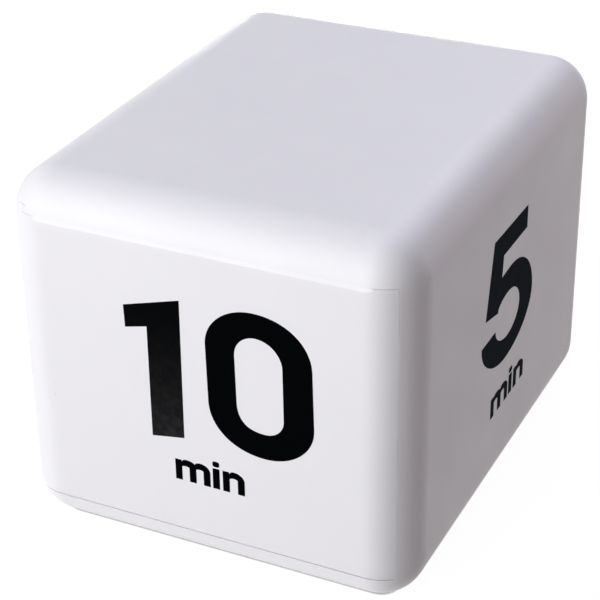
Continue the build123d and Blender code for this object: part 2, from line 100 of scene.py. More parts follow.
def add_node(
    tree: NodeTree, kind: str, inputs: Mapping[str | int, object] | None = None, **settings: object
) -> bpy.types.Node:
    """Add a node with its settings, values and links.

    Args:
        tree: The node tree that takes the node.
        kind: The node's type name.
        inputs: Sockets by name or number, each with a value or the output socket to link from.
        settings: Properties of the node itself.

    Returns:
        The new node.
    """
    node = tree.nodes.new(kind)
    for name, value in settings.items():
        setattr(node, name, value)
    for socket, value in (inputs or {}).items():
        if isinstance(value, NodeSocket):
            tree.links.new(value, node.inputs[socket])
        else:
            node.inputs[socket].default_value = value
    return node


@dataclass(frozen=True)
class Finish:
    """What a real surface shows: two close tones, a wandering gloss and the grain that its making left.

    Attributes:
        name: The material and how it was made.
        tone: Its main colour.
        second_tone: The colour that it wanders to.
        blotch: Width of a patch of one tone.
        grain: Spacing of the grain.
        grain_height: How far the grain stands up.
        roughness: Middle roughness.
        gloss_spread: How far the roughness wanders either way.
        ior: Refractive index, or None for a metal, which keeps the default.
        metallic: One for bare metal.
        specular: Strength of the clear reflection.
        transmission: One for a clear body.
        coat: Strength of a clear skin over the colour.
        stretch: How much longer than wide the marks are, along each axis.
    """

    name: str
    tone: str
    second_tone: str
    blotch: float
    grain: float
    grain_height: float
    roughness: float
    gloss_spread: float = 0.05
    ior: float | None = 1.5
    metallic: float = 0.0
    specular: float = 0.5
    transmission: float = 0.0
    coat: float = 0.0
    stretch: tuple[float, float, float] = (1.0, 1.0, 1.0)

    def material(self) -> bpy.types.Material:
        """Give the material, made on the first call."""
        made = bpy.data.materials.get(self.name)
        return made if made else self.make()

    def make(self) -> bpy.types.Material:
        """Lay out the nodes.

        Returns:
            The new material.
        """
        material = bpy.data.materials.new(self.name)
        material.use_nodes = True
        tree = material.node_tree
        shader = tree.nodes["Principled BSDF"]
        place = add_node(tree, "ShaderNodeTexCoord").outputs["Object"]
        mapping = add_node(
            tree, "ShaderNodeMapping", {"Vector": place, "Scale": [1 / share for share in self.stretch]}
        ).outputs["Vector"]
        blotches = add_node(
            tree,
            "ShaderNodeTexNoise",
            {"Vector": mapping, "Scale": 1 / (self.blotch * MM), "Detail": BLOTCH_DETAIL},
        ).outputs["Fac"]
        grains = add_node(
            tree,
            "ShaderNodeTexNoise",
            {"Vector": mapping, "Scale": 1 / (self.grain * MM), "Detail": GRAIN_DETAIL},
        ).outputs["Fac"]
        colour = add_node(
            tree,
            "ShaderNodeMix",
            {"Factor": blotches, "A": linear(self.tone), "B": linear(self.second_tone)},
            data_type="RGBA",
        ).outputs["Result"]
        gloss = add_node(
            tree,
            "ShaderNodeMapRange",
            {
                "Value": blotches,
                "From Min": NOISE_LOW,
                "From Max": NOISE_HIGH,
                "To Min": self.roughness - self.gloss_spread,
                "To Max": self.roughness + self.gloss_spread,
            },
        )
        bump = add_node(
            tree, "ShaderNodeBump", {"Height": grains, "Distance": self.grain_height * MM, "Strength": 1.0}
        )
        tree.links.new(self.marked(tree, mapping, colour), shader.inputs["Base Color"])
        tree.links.new(gloss.outputs["Result"], shader.inputs["Roughness"])
        tree.links.new(bump.outputs["Normal"], shader.inputs["Normal"])
        shader.inputs["Metallic"].default_value = self.metallic
        shader.inputs["Specular IOR Level"].default_value = self.specular
        shader.inputs["Transmission Weight"].default_value = self.transmission
        shader.inputs["Coat Weight"].default_value = self.coat
        if self.ior:
            shader.inputs["IOR"].default_value = self.ior
        return material

    def marked(self, tree: NodeTree, place: NodeSocket, colour: NodeSocket) -> NodeSocket:
        """Add the marks that this kind of finish shows over its tones; the plain one has none.

        Args:
            tree: The material's nodes.
            place: Where a point of the surface is.
            colour: The colour without marks.

        Returns:
            The colour with the marks.
        """
        return colour


@dataclass(frozen=True)
class SpeckledFinish(Finish):
    """A moulded skin with a few specks of dust caught in it.

    Attributes:
        speck_tone: Colour of a speck.
        speck_spacing: How far apart specks lie in the material.
        speck_radius: Size of a speck.
    """

    speck_tone: str = "#DEDDE1"
    speck_spacing: float = 7.0
    speck_radius: float = 0.14

    def marked(self, tree: NodeTree, place: NodeSocket, colour: NodeSocket) -> NodeSocket:
        """Add the specks.

        Args:
            tree: The material's nodes.
            place: Where a point of the surface is.
            colour: The colour without specks.

        Returns:
            The colour with the specks.
        """
        away = add_node(
            tree, "ShaderNodeTexVoronoi", {"Vector": place, "Scale": 1 / (self.speck_spacing * MM)}
        ).outputs["Distance"]
        reach = self.speck_radius / self.speck_spacing
        inside = add_node(tree, "ShaderNodeMath", {0: away, 1: reach}, operation="LESS_THAN").outputs[0]
        return add_node(
            tree,
            "ShaderNodeMix",
            {"Factor": inside, "A": colour, "B": linear(self.speck_tone)},
            data_type="RGBA",
        ).outputs["Result"]


@dataclass(frozen=True)
class TrackedFinish(Finish):
    """Solder mask over copper, whose tracks show through as paler lines.

    Attributes:
        track_tone: Colour over a track.
        track_pitch: Spacing of the tracks.
        track_width: Width of a track.
        track_run: Length of a track between its cross links.
    """

    track_tone: str = "#3F8B52"
    track_pitch: float = 1.6
    track_width: float = 0.35
    track_run: float = 8.0

    def marked(self, tree: NodeTree, place: NodeSocket, colour: NodeSocket) -> NodeSocket:
        """Add the tracks.

        Args:
            tree: The material's nodes.
            place: Where a point of the board is.
            colour: The colour between tracks.

        Returns:
            The colour with the tracks.
        """
        tracks = add_node(
            tree,
            "ShaderNodeTexBrick",
            {
                "Vector": place,
                "Scale": 1.0,
                "Mortar Size": self.track_width / 2 * MM,
                "Brick Width": self.track_run * MM,
                "Row Height": self.track_pitch * MM,
            },
        ).outputs["Fac"]
        return add_node(
            tree,
            "ShaderNodeMix",
            {"Factor": tracks, "A": colour, "B": linear(self.track_tone)},
            data_type="RGBA",
        ).outputs["Result"]


@dataclass(frozen=True)
class ThinningInk(Finish):
    """Print that thins downwards, where the pale plastic greys it in patches.

    Attributes:
        thin_tone: Colour where it is thinnest.
        whole_height: Height over the base from which the print is whole.
        thin_height: Height at which it is thinnest.
        patch: Width of a grey patch.
    """

    thin_tone: str = "#38383A"
    whole_height: float = 42.0
    thin_height: float = 19.0
    patch: float = 0.9

    def marked(self, tree: NodeTree, place: NodeSocket, colour: NodeSocket) -> NodeSocket:
        """Add the grey of the thin part.

        Args:
            tree: The material's nodes.
            place: Where a point of the print is.
            colour: The colour of the whole print.

        Returns:
            The colour with the grey.
        """
        height = add_node(tree, "ShaderNodeSeparateXYZ", {0: place}).outputs["Z"]
        thin = add_node(
            tree,
            "ShaderNodeMapRange",
            {"Value": height, "From Min": self.whole_height * MM, "From Max": self.thin_height * MM},
        ).outputs["Result"]
        steeper = add_node(tree, "ShaderNodeMath", {0: thin, 1: thin}, operation="MULTIPLY").outputs[0]
        patches = add_node(
            tree,
            "ShaderNodeTexNoise",
            {"Vector": place, "Scale": 1 / (self.patch * MM), "Detail": BLOTCH_DETAIL},
        ).outputs["Fac"]
        grey = add_node(tree, "ShaderNodeMath", {0: steeper, 1: patches}, operation="MULTIPLY").outputs[0]
        return add_node(
            tree,
            "ShaderNodeMix",
            {"Factor": grey, "A": colour, "B": linear(self.thin_tone)},
            data_type="RGBA",
        ).outputs["Result"]


class Studio(Enum):
    """Colours of the set round the timer."""

    WHITE = "#FFFFFF"
    PAPER = "#F4F4F5"
    COOL = "#EDEEFF"
    WARM = "#FFEFF0"
    AMBER = "#FFDEC8"


# Moulded white ABS: a satin skin, barely blotched, that spreads a highlight softly round the edges.
# The mould's own grain is too fine to show, so it is drawn coarser
WHITE_ABS = SpeckledFinish(
    "moulded_white_abs",
    tone="#EDEDF1",
    second_tone="#E9E9EE",
    blotch=9.0,
    grain=0.35,
    grain_height=0.002,
    roughness=0.42,
    gloss_spread=0.04,
    ior=1.53,
)
# Matte ABS of the inner tray: the same plastic from a sparked mould, a shade greyer and flatter
TRAY_ABS = Finish(
    "sparked_tray_abs",
    tone="#DEDEE1",
    second_tone="#D6D6DA",
    blotch=6.0,
    grain=0.3,
    grain_height=0.006,
    roughness=0.58,
    gloss_spread=0.04,
    ior=1.53,
)
# Screen print ink: a flat black full of pigment, with no reflection to speak of
FULL_INK = Finish(
    "screen_print_ink",
    tone="#040607",
    second_tone="#06080A",
    blotch=2.0,
    grain=0.3,
    grain_height=0.002,
    roughness=0.8,
    gloss_spread=0.05,
    ior=1.5,
    specular=0.0,
)
# The same ink laid thinner, which the plastic under it turns to a patchy dark grey lower down
THIN_INK = ThinningInk(
    "thin_screen_print_ink",
    tone="#070808",
    second_tone="#0B0C0E",
    blotch=1.2,
    grain=0.3,
    grain_height=0.004,
    roughness=0.8,
    gloss_spread=0.05,
    ior=1.5,
    specular=0.0,
)
# Ink on the long sides: the black print drawn as a flat charcoal grey, a painted sheen for its grazing reflection
SIDE_INK_PAINTED_SHEEN = Finish(
    "side_print_ink_painted_sheen",
    tone="#2F373D",
    second_tone="#343B42",
    blotch=2.0,
    grain=0.3,
    grain_height=0.002,
    roughness=0.8,
    gloss_spread=0.05,
    ior=1.5,
    specular=0.0,
)
# Pad print of the switch positions: small mid grey letters
LABEL_INK = Finish(
    "grey_pad_print",
    tone="#5A5C60",
    second_tone="#62656A",
    blotch=1.0,
    grain=0.2,
    grain_height=0.002,
    roughness=0.6,
    gloss_spread=0.05,
    ior=1.5,
    specular=0.1,
)
# Polished acrylic: clear, with a sharp reflection
CLEAR_ACRYLIC = Finish(
    "polished_acrylic",
    tone="#FAFCFC",
    second_tone="#F6F9F9",
    blotch=20.0,
    grain=2.0,
    grain_height=0.0005,
    roughness=0.03,
    gloss_spread=0.01,
    ior=1.49,
    transmission=1.0,
)
# Liquid crystal cell: a grey green reflector behind glass, slightly cloudy
CRYSTAL_CELL = Finish(
    "polarised_crystal_cell",
    tone="#A4AC9C",
    second_tone="#9BA394",
    blotch=5.0,
    grain=0.2,
    grain_height=0.001,
    roughness=0.35,
    gloss_spread=0.04,
    ior=1.52,
    coat=0.5,
)
# Lit segments: the crystal turned dark, nearly black with a green cast
DARK_SEGMENT = Finish(
    "turned_liquid_crystal",
    tone="#0D110D",
    second_tone="#131813",
    blotch=1.0,
    grain=0.2,
    grain_height=0.001,
    roughness=0.4,
    gloss_spread=0.04,
    ior=1.5,
    specular=0.2,
)
# Moulded nylon: a dull black with a fine grain
BLACK_NYLON = Finish(
    "moulded_black_nylon",
    tone="#1A1A1B",
    second_tone="#141415",
    blotch=3.0,
    grain=0.25,
    grain_height=0.004,
    roughness=0.52,
    gloss_spread=0.06,
    ior=1.53,
)
# Layered silicone: pink rubber with fine dark layers along the strip
LAYERED_SILICONE = Finish(
    "layered_silicone",
    tone="#8C5A60",
    second_tone="#5E3C42",
    blotch=0.6,
    grain=0.3,
    grain_height=0.003,
    roughness=0.7,
    gloss_spread=0.05,
    ior=1.41,
    stretch=(0.2, 4.0, 4.0),
)
# Solder mask on glass laminate: a glossy green with paler tracks
SOLDER_MASK = TrackedFinish(
    "green_solder_mask",
    tone="#1E6A39",
    second_tone="#185A2F",
    blotch=4.0,
    grain=0.4,
    grain_height=0.004,
    roughness=0.32,
    gloss_spread=0.06,
    ior=1.55,
)
# Cured epoxy: a glossy black drop, a little wavy
CURED_EPOXY = Finish(
    "cured_black_epoxy",
    tone="#101011",
    second_tone="#161617",
    blotch=2.0,
    grain=1.5,
    grain_height=0.01,
    roughness=0.22,
    gloss_spread=0.05,
    ior=1.55,
)
# Nickel plated steel: bright, drawn along one way
NICKEL = Finish(
    "nickel_plated_steel",
    tone="#CFCCC4",
    second_tone="#BFBCB4",
    blotch=2.0,
    grain=0.25,
    grain_height=0.003,
    roughness=0.26,
    gloss_spread=0.06,
    ior=None,
    metallic=1.0,
    stretch=(4.0, 1.0, 1.0),
)
# Zinc plated steel: a cooler, softer grey than nickel
ZINC = Finish(
    "zinc_plated_steel",
    tone="#B9BABB",
    second_tone="#A5A7A9",
    blotch=1.2,
    grain=0.2,
    grain_height=0.003,
    roughness=0.36,
    gloss_spread=0.07,
    ior=None,
    metallic=1.0,
)
# Fired chip capacitors: a matte tan ceramic
TAN_CERAMIC = Finish(
    "fired_tan_ceramic",
    tone="#B89468",
    second_tone="#A98559",
    blotch=0.8,
    grain=0.15,
    grain_height=0.003,
    roughness=0.5,
    gloss_spread=0.05,
    ior=1.6,
)
# Chip resistors: a glazed black film
BLACK_GLAZE = Finish(
    "glazed_black_film",
    tone="#1C1C1F",
    second_tone="#232327",
    blotch=0.8,
    grain=0.15,
    grain_height=0.002,
    roughness=0.35,
    gloss_spread=0.05,
    ior=1.6,
)
# Moulded acetal: the dark grey slider, waxy and smooth
GREY_ACETAL = Finish(
    "moulded_grey_acetal",
    tone="#55565A",
    second_tone="#4D4E52",
    blotch=3.0,
    grain=0.25,
    grain_height=0.003,
    roughness=0.46,
    gloss_spread=0.05,
    ior=1.48,
)
# Rolled brass: a warm sheet with lines along the rolling
ROLLED_BRASS = Finish(
    "rolled_brass",
    tone="#D2AA62",
    second_tone="#C39A52",
    blotch=2.0,
    grain=0.2,
    grain_height=0.002,
    roughness=0.3,
    gloss_spread=0.06,
    ior=None,
    metallic=1.0,
    stretch=(8.0, 1.0, 1.0),
)
# Silvered ceramic of the sounder: a pale matte disc
SILVERED_CERAMIC = Finish(
    "silvered_ceramic",
    tone="#DDDAD2",
    second_tone="#D2CFC6",
    blotch=1.5,
    grain=0.2,
    grain_height=0.003,
    roughness=0.42,
    gloss_spread=0.06,
    ior=1.6,
    metallic=0.3,
)
# Printed foil sleeve of a cell: slate blue with a metallic body
SLATE_FOIL = Finish(
    "slate_printed_foil",
    tone="#33486B",
    second_tone="#2C4060",
    blotch=6.0,
    grain=0.5,
    grain_height=0.002,
    roughness=0.3,
    gloss_spread=0.04,
    ior=1.5,
    metallic=0.35,
    coat=0.3,
)
# The same foil left bare as a band: silver
SILVER_FOIL = Finish(
    "bare_silver_foil",
    tone="#CBCDD0",
    second_tone="#BEC0C4",
    blotch=4.0,
    grain=0.4,
    grain_height=0.002,
    roughness=0.28,
    gloss_spread=0.05,
    ior=None,
    metallic=0.9,
)
# White print on the sleeve: a thin opaque line with a satin face
WHITE_PRINT = Finish(
    "white_sleeve_print",
    tone="#E8E9EA",
    second_tone="#E0E1E3",
    blotch=3.0,
    grain=0.3,
    grain_height=0.001,
    roughness=0.4,
    gloss_spread=0.04,
    ior=1.5,
)
# Pressed fibre of the washer round the positive cap: a dull buff card with a coarse nap
FIBRE_WASHER = Finish(
    "pressed_fibre_washer",
    tone="#D9D3C4",
    second_tone="#C9C2B1",
    blotch=0.8,
    grain=0.15,
    grain_height=0.01,
    roughness=0.8,
    gloss_spread=0.05,
    ior=1.5,
)
# Wire insulation: soft glossy vinyl, in red and in black
RED_VINYL = Finish(
    "red_wire_vinyl",
    tone="#B3231E",
    second_tone="#A31D19",
    blotch=3.0,
    grain=0.4,
    grain_height=0.002,
    roughness=0.38,
    gloss_spread=0.05,
    ior=1.53,
)
BLACK_VINYL = Finish(
    "black_wire_vinyl",
    tone="#171718",
    second_tone="#1D1D1E",
    blotch=3.0,
    grain=0.4,
    grain_height=0.002,
    roughness=0.38,
    gloss_spread=0.05,
    ior=1.53,
)

SLOT_FINISHES: dict[str, Finish] = {
    "white_abs": WHITE_ABS,
    "tray_abs": TRAY_ABS,
    "clear_lens": CLEAR_ACRYLIC,
    "lcd_cell": CRYSTAL_CELL,
    "black_plastic": BLACK_NYLON,
    "strip_rubber": LAYERED_SILICONE,
    "board_laminate": SOLDER_MASK,
    "black_epoxy": CURED_EPOXY,
    "bright_steel": NICKEL,
    "screw_steel": ZINC,
    "chip_tan": TAN_CERAMIC,
    "chip_black": BLACK_GLAZE,
    "button_grey": GREY_ACETAL,
    "disc_brass": ROLLED_BRASS,
    "piezo_white": SILVERED_CERAMIC,
    "cell_wrap": SLATE_FOIL,
    "red_wire": RED_VINYL,
    "black_wire": BLACK_VINYL,
}


class Bend(Enum):
    """How an outline runs to its next point."""

    LINE = "straight"
    RISE = "a quarter round that sets off along the height"
    RUN = "a quarter round that sets off along the width"


@dataclass(frozen=True)
class Step:
    """One stretch of a closed outline.

    Attributes:
        bend: How it runs.
        x: Where it ends across.
        y: Where it ends upwards.
        fullness: Handle length of a quarter round, as a share of its reach.
    """

    bend: Bend
    x: float
    y: float
    fullness: float = ROUND_HANDLE

    def handles(self, start: Vector) -> tuple[Vector, Vector]:
        """Give the two Bezier handles of the stretch.

        Args:
            start: Where the stretch begins.

        Returns:
            The handle by the start and the handle by the end.
        """
        end = Vector((self.x, self.y))
        way = end - start
        if self.bend is Bend.LINE:
            return start + way / 3, end - way / 3
        across = Vector((way.x, 0.0)) * self.fullness
        upward = Vector((0.0, way.y)) * self.fullness
        if self.bend is Bend.RISE:
            return start + upward, end - across
        return start + across, end - upward


Outline = tuple[Step, ...]
LINE, RISE, RUN = Bend.LINE, Bend.RISE, Bend.RUN

NUMERAL_ONE: tuple[Outline, ...] = (
    (
        Step(LINE, -11.14, 11.94),
        Step(LINE, -2.76, 14.40),
        Step(LINE, -2.96, -6.82),
        Step(LINE, -7.78, -7.64),
        Step(LINE, -7.72, 9.52),
        Step(LINE, -11.03, 8.71),
    ),
)
NUMERAL_ZERO: tuple[Outline, ...] = (
    (
        Step(LINE, 0.92, 8.9),
        Step(RISE, 8.1, 15.05),
        Step(RUN, 16.4, 8.0, 0.58),
        Step(LINE, 16.57, -0.6),
        Step(RISE, 9.38, -6.92),
        Step(RUN, 1.07, 0.3, 0.58),
    ),
    (
        Step(LINE, 5.17, 8.2),
        Step(RISE, 8.3, 11.4),
        Step(RUN, 12.15, 7.5),
        Step(LINE, 12.2, -0.3),
        Step(RISE, 9.45, -3.05),
        Step(RUN, 5.3, 1.2, 0.68),
    ),
)
NUMERAL_FIVE: tuple[Outline, ...] = (
    (
        Step(LINE, -7.77, 15.73),
        Step(LINE, 5.68, 15.47),
        Step(LINE, 5.70, 12.12),
        Step(LINE, -3.89, 12.15),
        Step(LINE, -4.33, 8.65),
        Step(LINE, -0.5, 8.85),
        Step(RUN, 9.3, 0.8),
        Step(RISE, -1.5, -5.6),
        Step(RUN, -11.4, 0.85, 0.5),
        Step(LINE, -6.09, 0.87),
        Step(RISE, -1.0, -2.3, 0.5),
        Step(RUN, 3.95, 1.2),
        Step(RISE, -1.2, 5.22),
        Step(RUN, -5.37, 3.74),
        Step(LINE, -10.17, 4.79),
    ),
)


@dataclass(frozen=True)
class WordMin:
    """The lower case word under a numeral, drawn from its own few sizes.

    Attributes:
        stem: Width of an upright.
        height: Height of the short letters.
        shoulder: How far an arch stands over its uprights.
        arch: Width of one arch of the m, from upright to upright.
        last_arch: Width of the arch of the n.
        first_gap: Space between m and i.
        gap: Space between i and n.
        dot_height: Height of the dot, which is as wide as an upright.
        dot_gap: Space under the dot.
        dot_fullness: Fullness of the dot's corners.
        top_share: Width of a first upright at its top, as a share of the stem.
        notch_share: Width of that upright where the arch leaves it, as a share of the stem.
        notch_drop_share: How far under its top the arch leaves it, as a share of the stem.
        crown_share: Where an arch is highest, as a share of the space that it spans.
        join_share: How far over the next upright an inner arch ends, as a share of the stem.
    """

    stem: float = 1.05
    height: float = 3.29
    shoulder: float = 0.15
    arch: float = 2.17
    last_arch: float = 2.27
    first_gap: float = 0.38
    gap: float = 0.48
    dot_height: float = 0.9
    dot_gap: float = 0.25
    dot_fullness: float = 0.85
    top_share: float = 0.93
    notch_share: float = 0.96
    notch_drop_share: float = 1 / 3
    crown_share: float = 0.55
    join_share: float = 0.8

    @property
    def width(self) -> float:
        """Width of the whole word."""
        return 2 * self.arch + self.last_arch + 3 * self.stem + self.first_gap + self.gap

    def arched(self, left: float, arch: float, arches: int) -> Outline:
        """Draw a letter of uprights joined by arches.

        Args:
            left: Where the letter starts.
            arch: Width of one arch.
            arches: Two for m, one for n.

        Returns:
            The letter's outline, from its lower left corner upwards.
        """
        top = self.height + self.shoulder
        spring = self.height - arch / 2
        under = top - self.stem
        notch = self.height - self.stem * self.notch_drop_share
        steps = [
            Step(LINE, left, 0.0),
            Step(LINE, left, self.height),
            Step(LINE, left + self.stem * self.top_share, self.height),
            Step(LINE, left + self.stem * self.notch_share, notch),
        ]
        for number in range(arches):
            start = left + number * arch
            end = start + arch
            last = number == arches - 1
            steps.append(Step(RISE, start + self.stem + (arch - self.stem) * self.crown_share, top))
            if last:
                steps.append(Step(RUN, end + self.stem, spring))
            else:
                steps.append(Step(RUN, end + self.stem * self.join_share, notch))
        for number in reversed(range(arches)):
            start = left + number * arch
            end = start + arch
            middle = (start + self.stem + end) / 2
            steps += [
                Step(LINE, end + self.stem, 0.0),
                Step(LINE, end, 0.0),
                Step(LINE, end, spring),
                Step(RISE, middle, under),
                Step(RUN, start + self.stem, spring),
            ]
        steps.append(Step(LINE, left + self.stem, 0.0))
        return tuple(steps)

    def outlines(self) -> tuple[Outline, ...]:
        """Draw the three letters about the word's middle.

        Returns:
            The outlines of m, i, its dot and n, on a base line at zero.
        """
        left = -self.width / 2
        i_left = left + 2 * self.arch + self.stem + self.first_gap
        n_left = i_left + self.stem + self.gap
        i_right = i_left + self.stem
        middle = i_left + self.stem / 2
        dot_low = self.height + self.dot_gap
        dot_middle = dot_low + self.dot_height / 2
        full = self.dot_fullness
        upright = (
            Step(LINE, i_left, 0.0),
            Step(LINE, i_left, self.height),
            Step(LINE, i_right, self.height),
            Step(LINE, i_right, 0.0),
        )
        dot = (
            Step(RUN, i_left, dot_middle, full),
            Step(RISE, middle, dot_low + self.dot_height, full),
            Step(RUN, i_right, dot_middle, full),
            Step(RISE, middle, dot_low, full),
        )
        return self.arched(left, self.arch, 2), upright, dot, self.arched(n_left, self.last_arch, 1)


class Side(Enum):
    """A side of the case: the way that its text runs, the way up and the way out."""

    FRONT = ((1, 0, 0), (0, 0, 1), (0, -1, 0))
    RIGHT = ((0, 1, 0), (0, 0, 1), (1, 0, 0))
    BACK = ((-1, 0, 0), (0, 0, 1), (0, 1, 0))
    LEFT = ((0, -1, 0), (0, 0, 1), (-1, 0, 0))
    UNDER = ((1, 0, 0), (0, -1, 0), (0, 0, -1))

    def placing(self, origin: Vector) -> Matrix:
        """Give the matrix that lays flat work on this side.

        Args:
            origin: The point of the side that the work's middle goes to.

        Returns:
            The matrix, in metres.
        """
        turn = Matrix([Vector(axis) for axis in self.value]).transposed().to_4x4()
        return Matrix.Translation(origin) @ turn


def mesh_of(name: str, curve: bpy.types.Curve) -> bpy.types.Mesh:
    """Turn a curve or text into a mesh and drop the curve.

    Args:
        name: Name of the mesh.
        curve: The curve or text.

    Returns:
        The mesh, in the curve's own plane.
    """
    holder = bpy.data.objects.new(name, curve)
    mesh = bpy.data.meshes.new_from_object(holder)
    bpy.data.objects.remove(holder)
    bpy.data.curves.remove(curve)
    mesh.name = name
    return mesh


def flat_mesh(
    name: str, outlines: Sequence[Outline], thickness: float, spread: float = 0.0
) -> bpy.types.Mesh:
    """Fill closed outlines as a thin flat plate.

    Args:
        name: Name of the mesh.
        outlines: Outer and inner outlines in millimetres.
        thickness: Thickness of the plate, half of it each way from the plane.
        spread: How far the plate reaches past its outlines.

    Returns:
        The plate's mesh in its own plane, in metres.
    """
    curve = bpy.data.curves.new(name, "CURVE")
    curve.dimensions = "2D"
    curve.fill_mode = "BOTH"
    curve.resolution_u = CURVE_STEPS
    curve.extrude = thickness / 2 * MM
    curve.offset = spread * MM
    for outline in outlines:
        spline = curve.splines.new("BEZIER")
        spline.bezier_points.add(len(outline) - 1)
        spline.use_cyclic_u = True
        ends = [Vector((step.x, step.y)) for step in outline]
        for number, step in enumerate(outline):
            before = spline.bezier_points[number - 1]
            here = spline.bezier_points[number]
            first, second = step.handles(ends[number - 1])
            here.co = (*ends[number] * MM, 0.0)
            before.handle_right_type = here.handle_left_type = "FREE"
            before.handle_right = (*first * MM, 0.0)
            here.handle_left = (*second * MM, 0.0)
    return mesh_of(name, curve)


def add_piece(
    mesh: bpy.types.Mesh, body: str, finishes: Sequence[Finish], replaced: Sequence[str] = ()
) -> bpy.types.Object:
    """Put a finished mesh in the scene as a piece of the timer.

    Args:
        mesh: The mesh, already in its place.
        body: The body that it moves with.
        finishes: Its finishes, in the order of the mesh's material numbers.
        replaced: Nodes that it stands for.

    Returns:
        The new object.
    """
    piece = bpy.data.objects.new(mesh.name, mesh)
    bpy.context.scene.collection.objects.link(piece)
    for finish in finishes:
        mesh.materials.append(finish.material())
    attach(piece, body)
    if replaced:
        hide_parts(*replaced)
    LOG.info("%s: %d faces on %s", piece.name, len(mesh.polygons), body)
    return piece


def middle_of(node: str) -> Vector:
    """Give the middle of a node's box."""
    low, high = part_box(node)
    return (low + high) / 2


@dataclass(frozen=True)
class Mark:
    """One figure or word of a print.

    Attributes:
        name: What it says.
        outlines: Its outlines, from the middle of the side.
        ink: Its finish.
        shift: How far it is moved across and up.
        stretch: How much it is widened.
        spread: How far the ink ran past its outlines.
    """

    name: str
    outlines: tuple[Outline, ...]
    ink: Finish = FULL_INK
    shift: tuple[float, float] = (0.0, 0.0)
    stretch: float = 1.0
    spread: float = 0.07

    def mesh(self, name: str, thickness: float) -> bpy.types.Mesh:
        """Make the mark in its own plane, stretched and shifted.

        Args:
            name: Name of the mesh.
            thickness: Thickness of the ink.

        Returns:
            The mark's mesh.
        """
        mesh = flat_mesh(name, self.outlines, thickness, self.spread)
        shift = Matrix.Translation((self.shift[0] * MM, self.shift[1] * MM, 0.0))
        mesh.transform(shift @ Matrix.Diagonal((self.stretch, 1.0, 1.0, 1.0)))
        return mesh


@dataclass
class PrintedSide:
    """The preset printed on one side of the timer.

    Attributes:
        side: The side.
        node: The node that carries the print.
        body: The body that it moves with.
        marks: Its figures and its word.
        ink_thickness: Thickness of the ink, half of it over the surface.
    """

    side: Side
    node: str
    body: str
    marks: tuple[Mark, ...]
    ink_thickness: float = 0.03

    def origin(self) -> Vector:
        """Give the middle of the side, on the surface of the node that carries the print.

        Returns:
            The point, in metres.
        """
        low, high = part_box(self.node)
        middle = (Vector(CAD_BOX[0]) + Vector(CAD_BOX[1])) / 2
        out = Vector(self.side.value[2])
        reach = Vector([high[i] if out[i] > 0 else low[i] for i in range(3)])
        return Vector([reach[i] if out[i] else middle[i] for i in range(3)])

    def build(self) -> None:
        """Make each mark and lay it on the side."""
        placing = self.side.placing(self.origin())
        for mark in self.marks:
            mesh = mark.mesh(f"print_{self.side.name.lower()}_{mark.name}", self.ink_thickness)
            mesh.transform(placing)
            add_piece(mesh, self.body, [mark.ink])


# Bars of a numeral on the display by name: the middle, as shares of half the numeral's width and height,
# and whether the bar stands
SEGMENT_SHARES: dict[str, tuple[float, float, bool]] = {
    "a": (0.0, 1.0, False),
    "b": (1.0, 0.5, True),
    "c": (1.0, -0.5, True),
    "d": (0.0, -1.0, False),
    "e": (-1.0, -0.5, True),
    "f": (-1.0, 0.5, True),
    "g": (0.0, 0.0, False),
}
LIT_SEGMENTS: dict[str, str] = {"0": "abcdef", "1": "bc"}


@dataclass
class Readout:
    """The time that stands on the liquid crystal cell, in bars that turn dark.

    Attributes:
        text: What it shows.
        digit_width: Width between a numeral's upright bars.
        digit_height: Height between its top and bottom bars.
        pitch: From one numeral to the next.
        colon_width: Room that the colon takes.
        bar: Width of a bar.
        dot_share: Length of a dot of the colon, as a share of that width.
        gap: Space between bars that meet.
        layer: Thickness of the dark layer.
        depth: How far in front of the cell its middle lies.
    """

    text: str = "10:00"
    digit_width: float = 3.0
    digit_height: float = 7.4
    pitch: float = 5.2
    colon_width: float = 2.2
    bar: float = 0.85
    dot_share: float = 1.2
    gap: float = 0.14
    layer: float = 0.02
    depth: float = 0.015

    def bar_outline(self, x: float, y: float, length: float, upright: bool) -> Outline:
        """Draw one bar with pointed ends.

        Args:
            x: Its middle across.
            y: Its middle upwards.
            length: Its length from tip to tip.
            upright: Whether it stands.

        Returns:
            The bar's outline.
        """
        tip = length / 2
        half = self.bar / 2
        flat = tip - half
        corners = ((-tip, 0.0), (-flat, half), (flat, half), (tip, 0.0), (flat, -half), (-flat, -half))
        if upright:
            corners = tuple((b, a) for a, b in corners)
        return tuple(Step(LINE, x + a, y + b) for a, b in corners)

    def digit(self, text: str, middle: float) -> list[Outline]:
        """Draw one numeral.

        Args:
            text: The numeral.
            middle: Its middle across.

        Returns:
            The outlines of its dark bars.
        """
        bars = []
        for name in LIT_SEGMENTS[text]:
            across, up, upright = SEGMENT_SHARES[name]
            reach = self.digit_height / 2 if upright else self.digit_width
            x = middle + across * self.digit_width / 2
            bars.append(self.bar_outline(x, up * self.digit_height / 2, reach - self.gap, upright))
        return bars

    def outlines(self) -> list[Outline]:
        """Draw the whole text about its middle.

        Returns:
            The outlines of every dark bar.
        """
        steps = [self.colon_width if sign == ":" else self.pitch for sign in self.text]
        at = -sum(steps) / 2
        bars = []
        for sign, step in zip(self.text, steps):
            middle = at + step / 2
            if sign == ":":
                dot = self.dot_share * self.bar
                for end in (-1, 1):
                    bars.append(self.bar_outline(middle, end * self.digit_height / 4, dot, False))
            else:
                bars += self.digit(sign, middle)
            at += step
        return bars

    def build(self) -> None:
        """Lay the text just in front of the cell, seen from below."""
        middle = middle_of("lcd_glass")
        face = Vector((middle.x, middle.y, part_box("lcd_glass")[0].z - self.depth * MM))
        mesh = flat_mesh("display_readout", self.outlines(), self.layer)
        mesh.transform(Side.UNDER.placing(face))
        add_piece(mesh, "case", [DARK_SEGMENT])


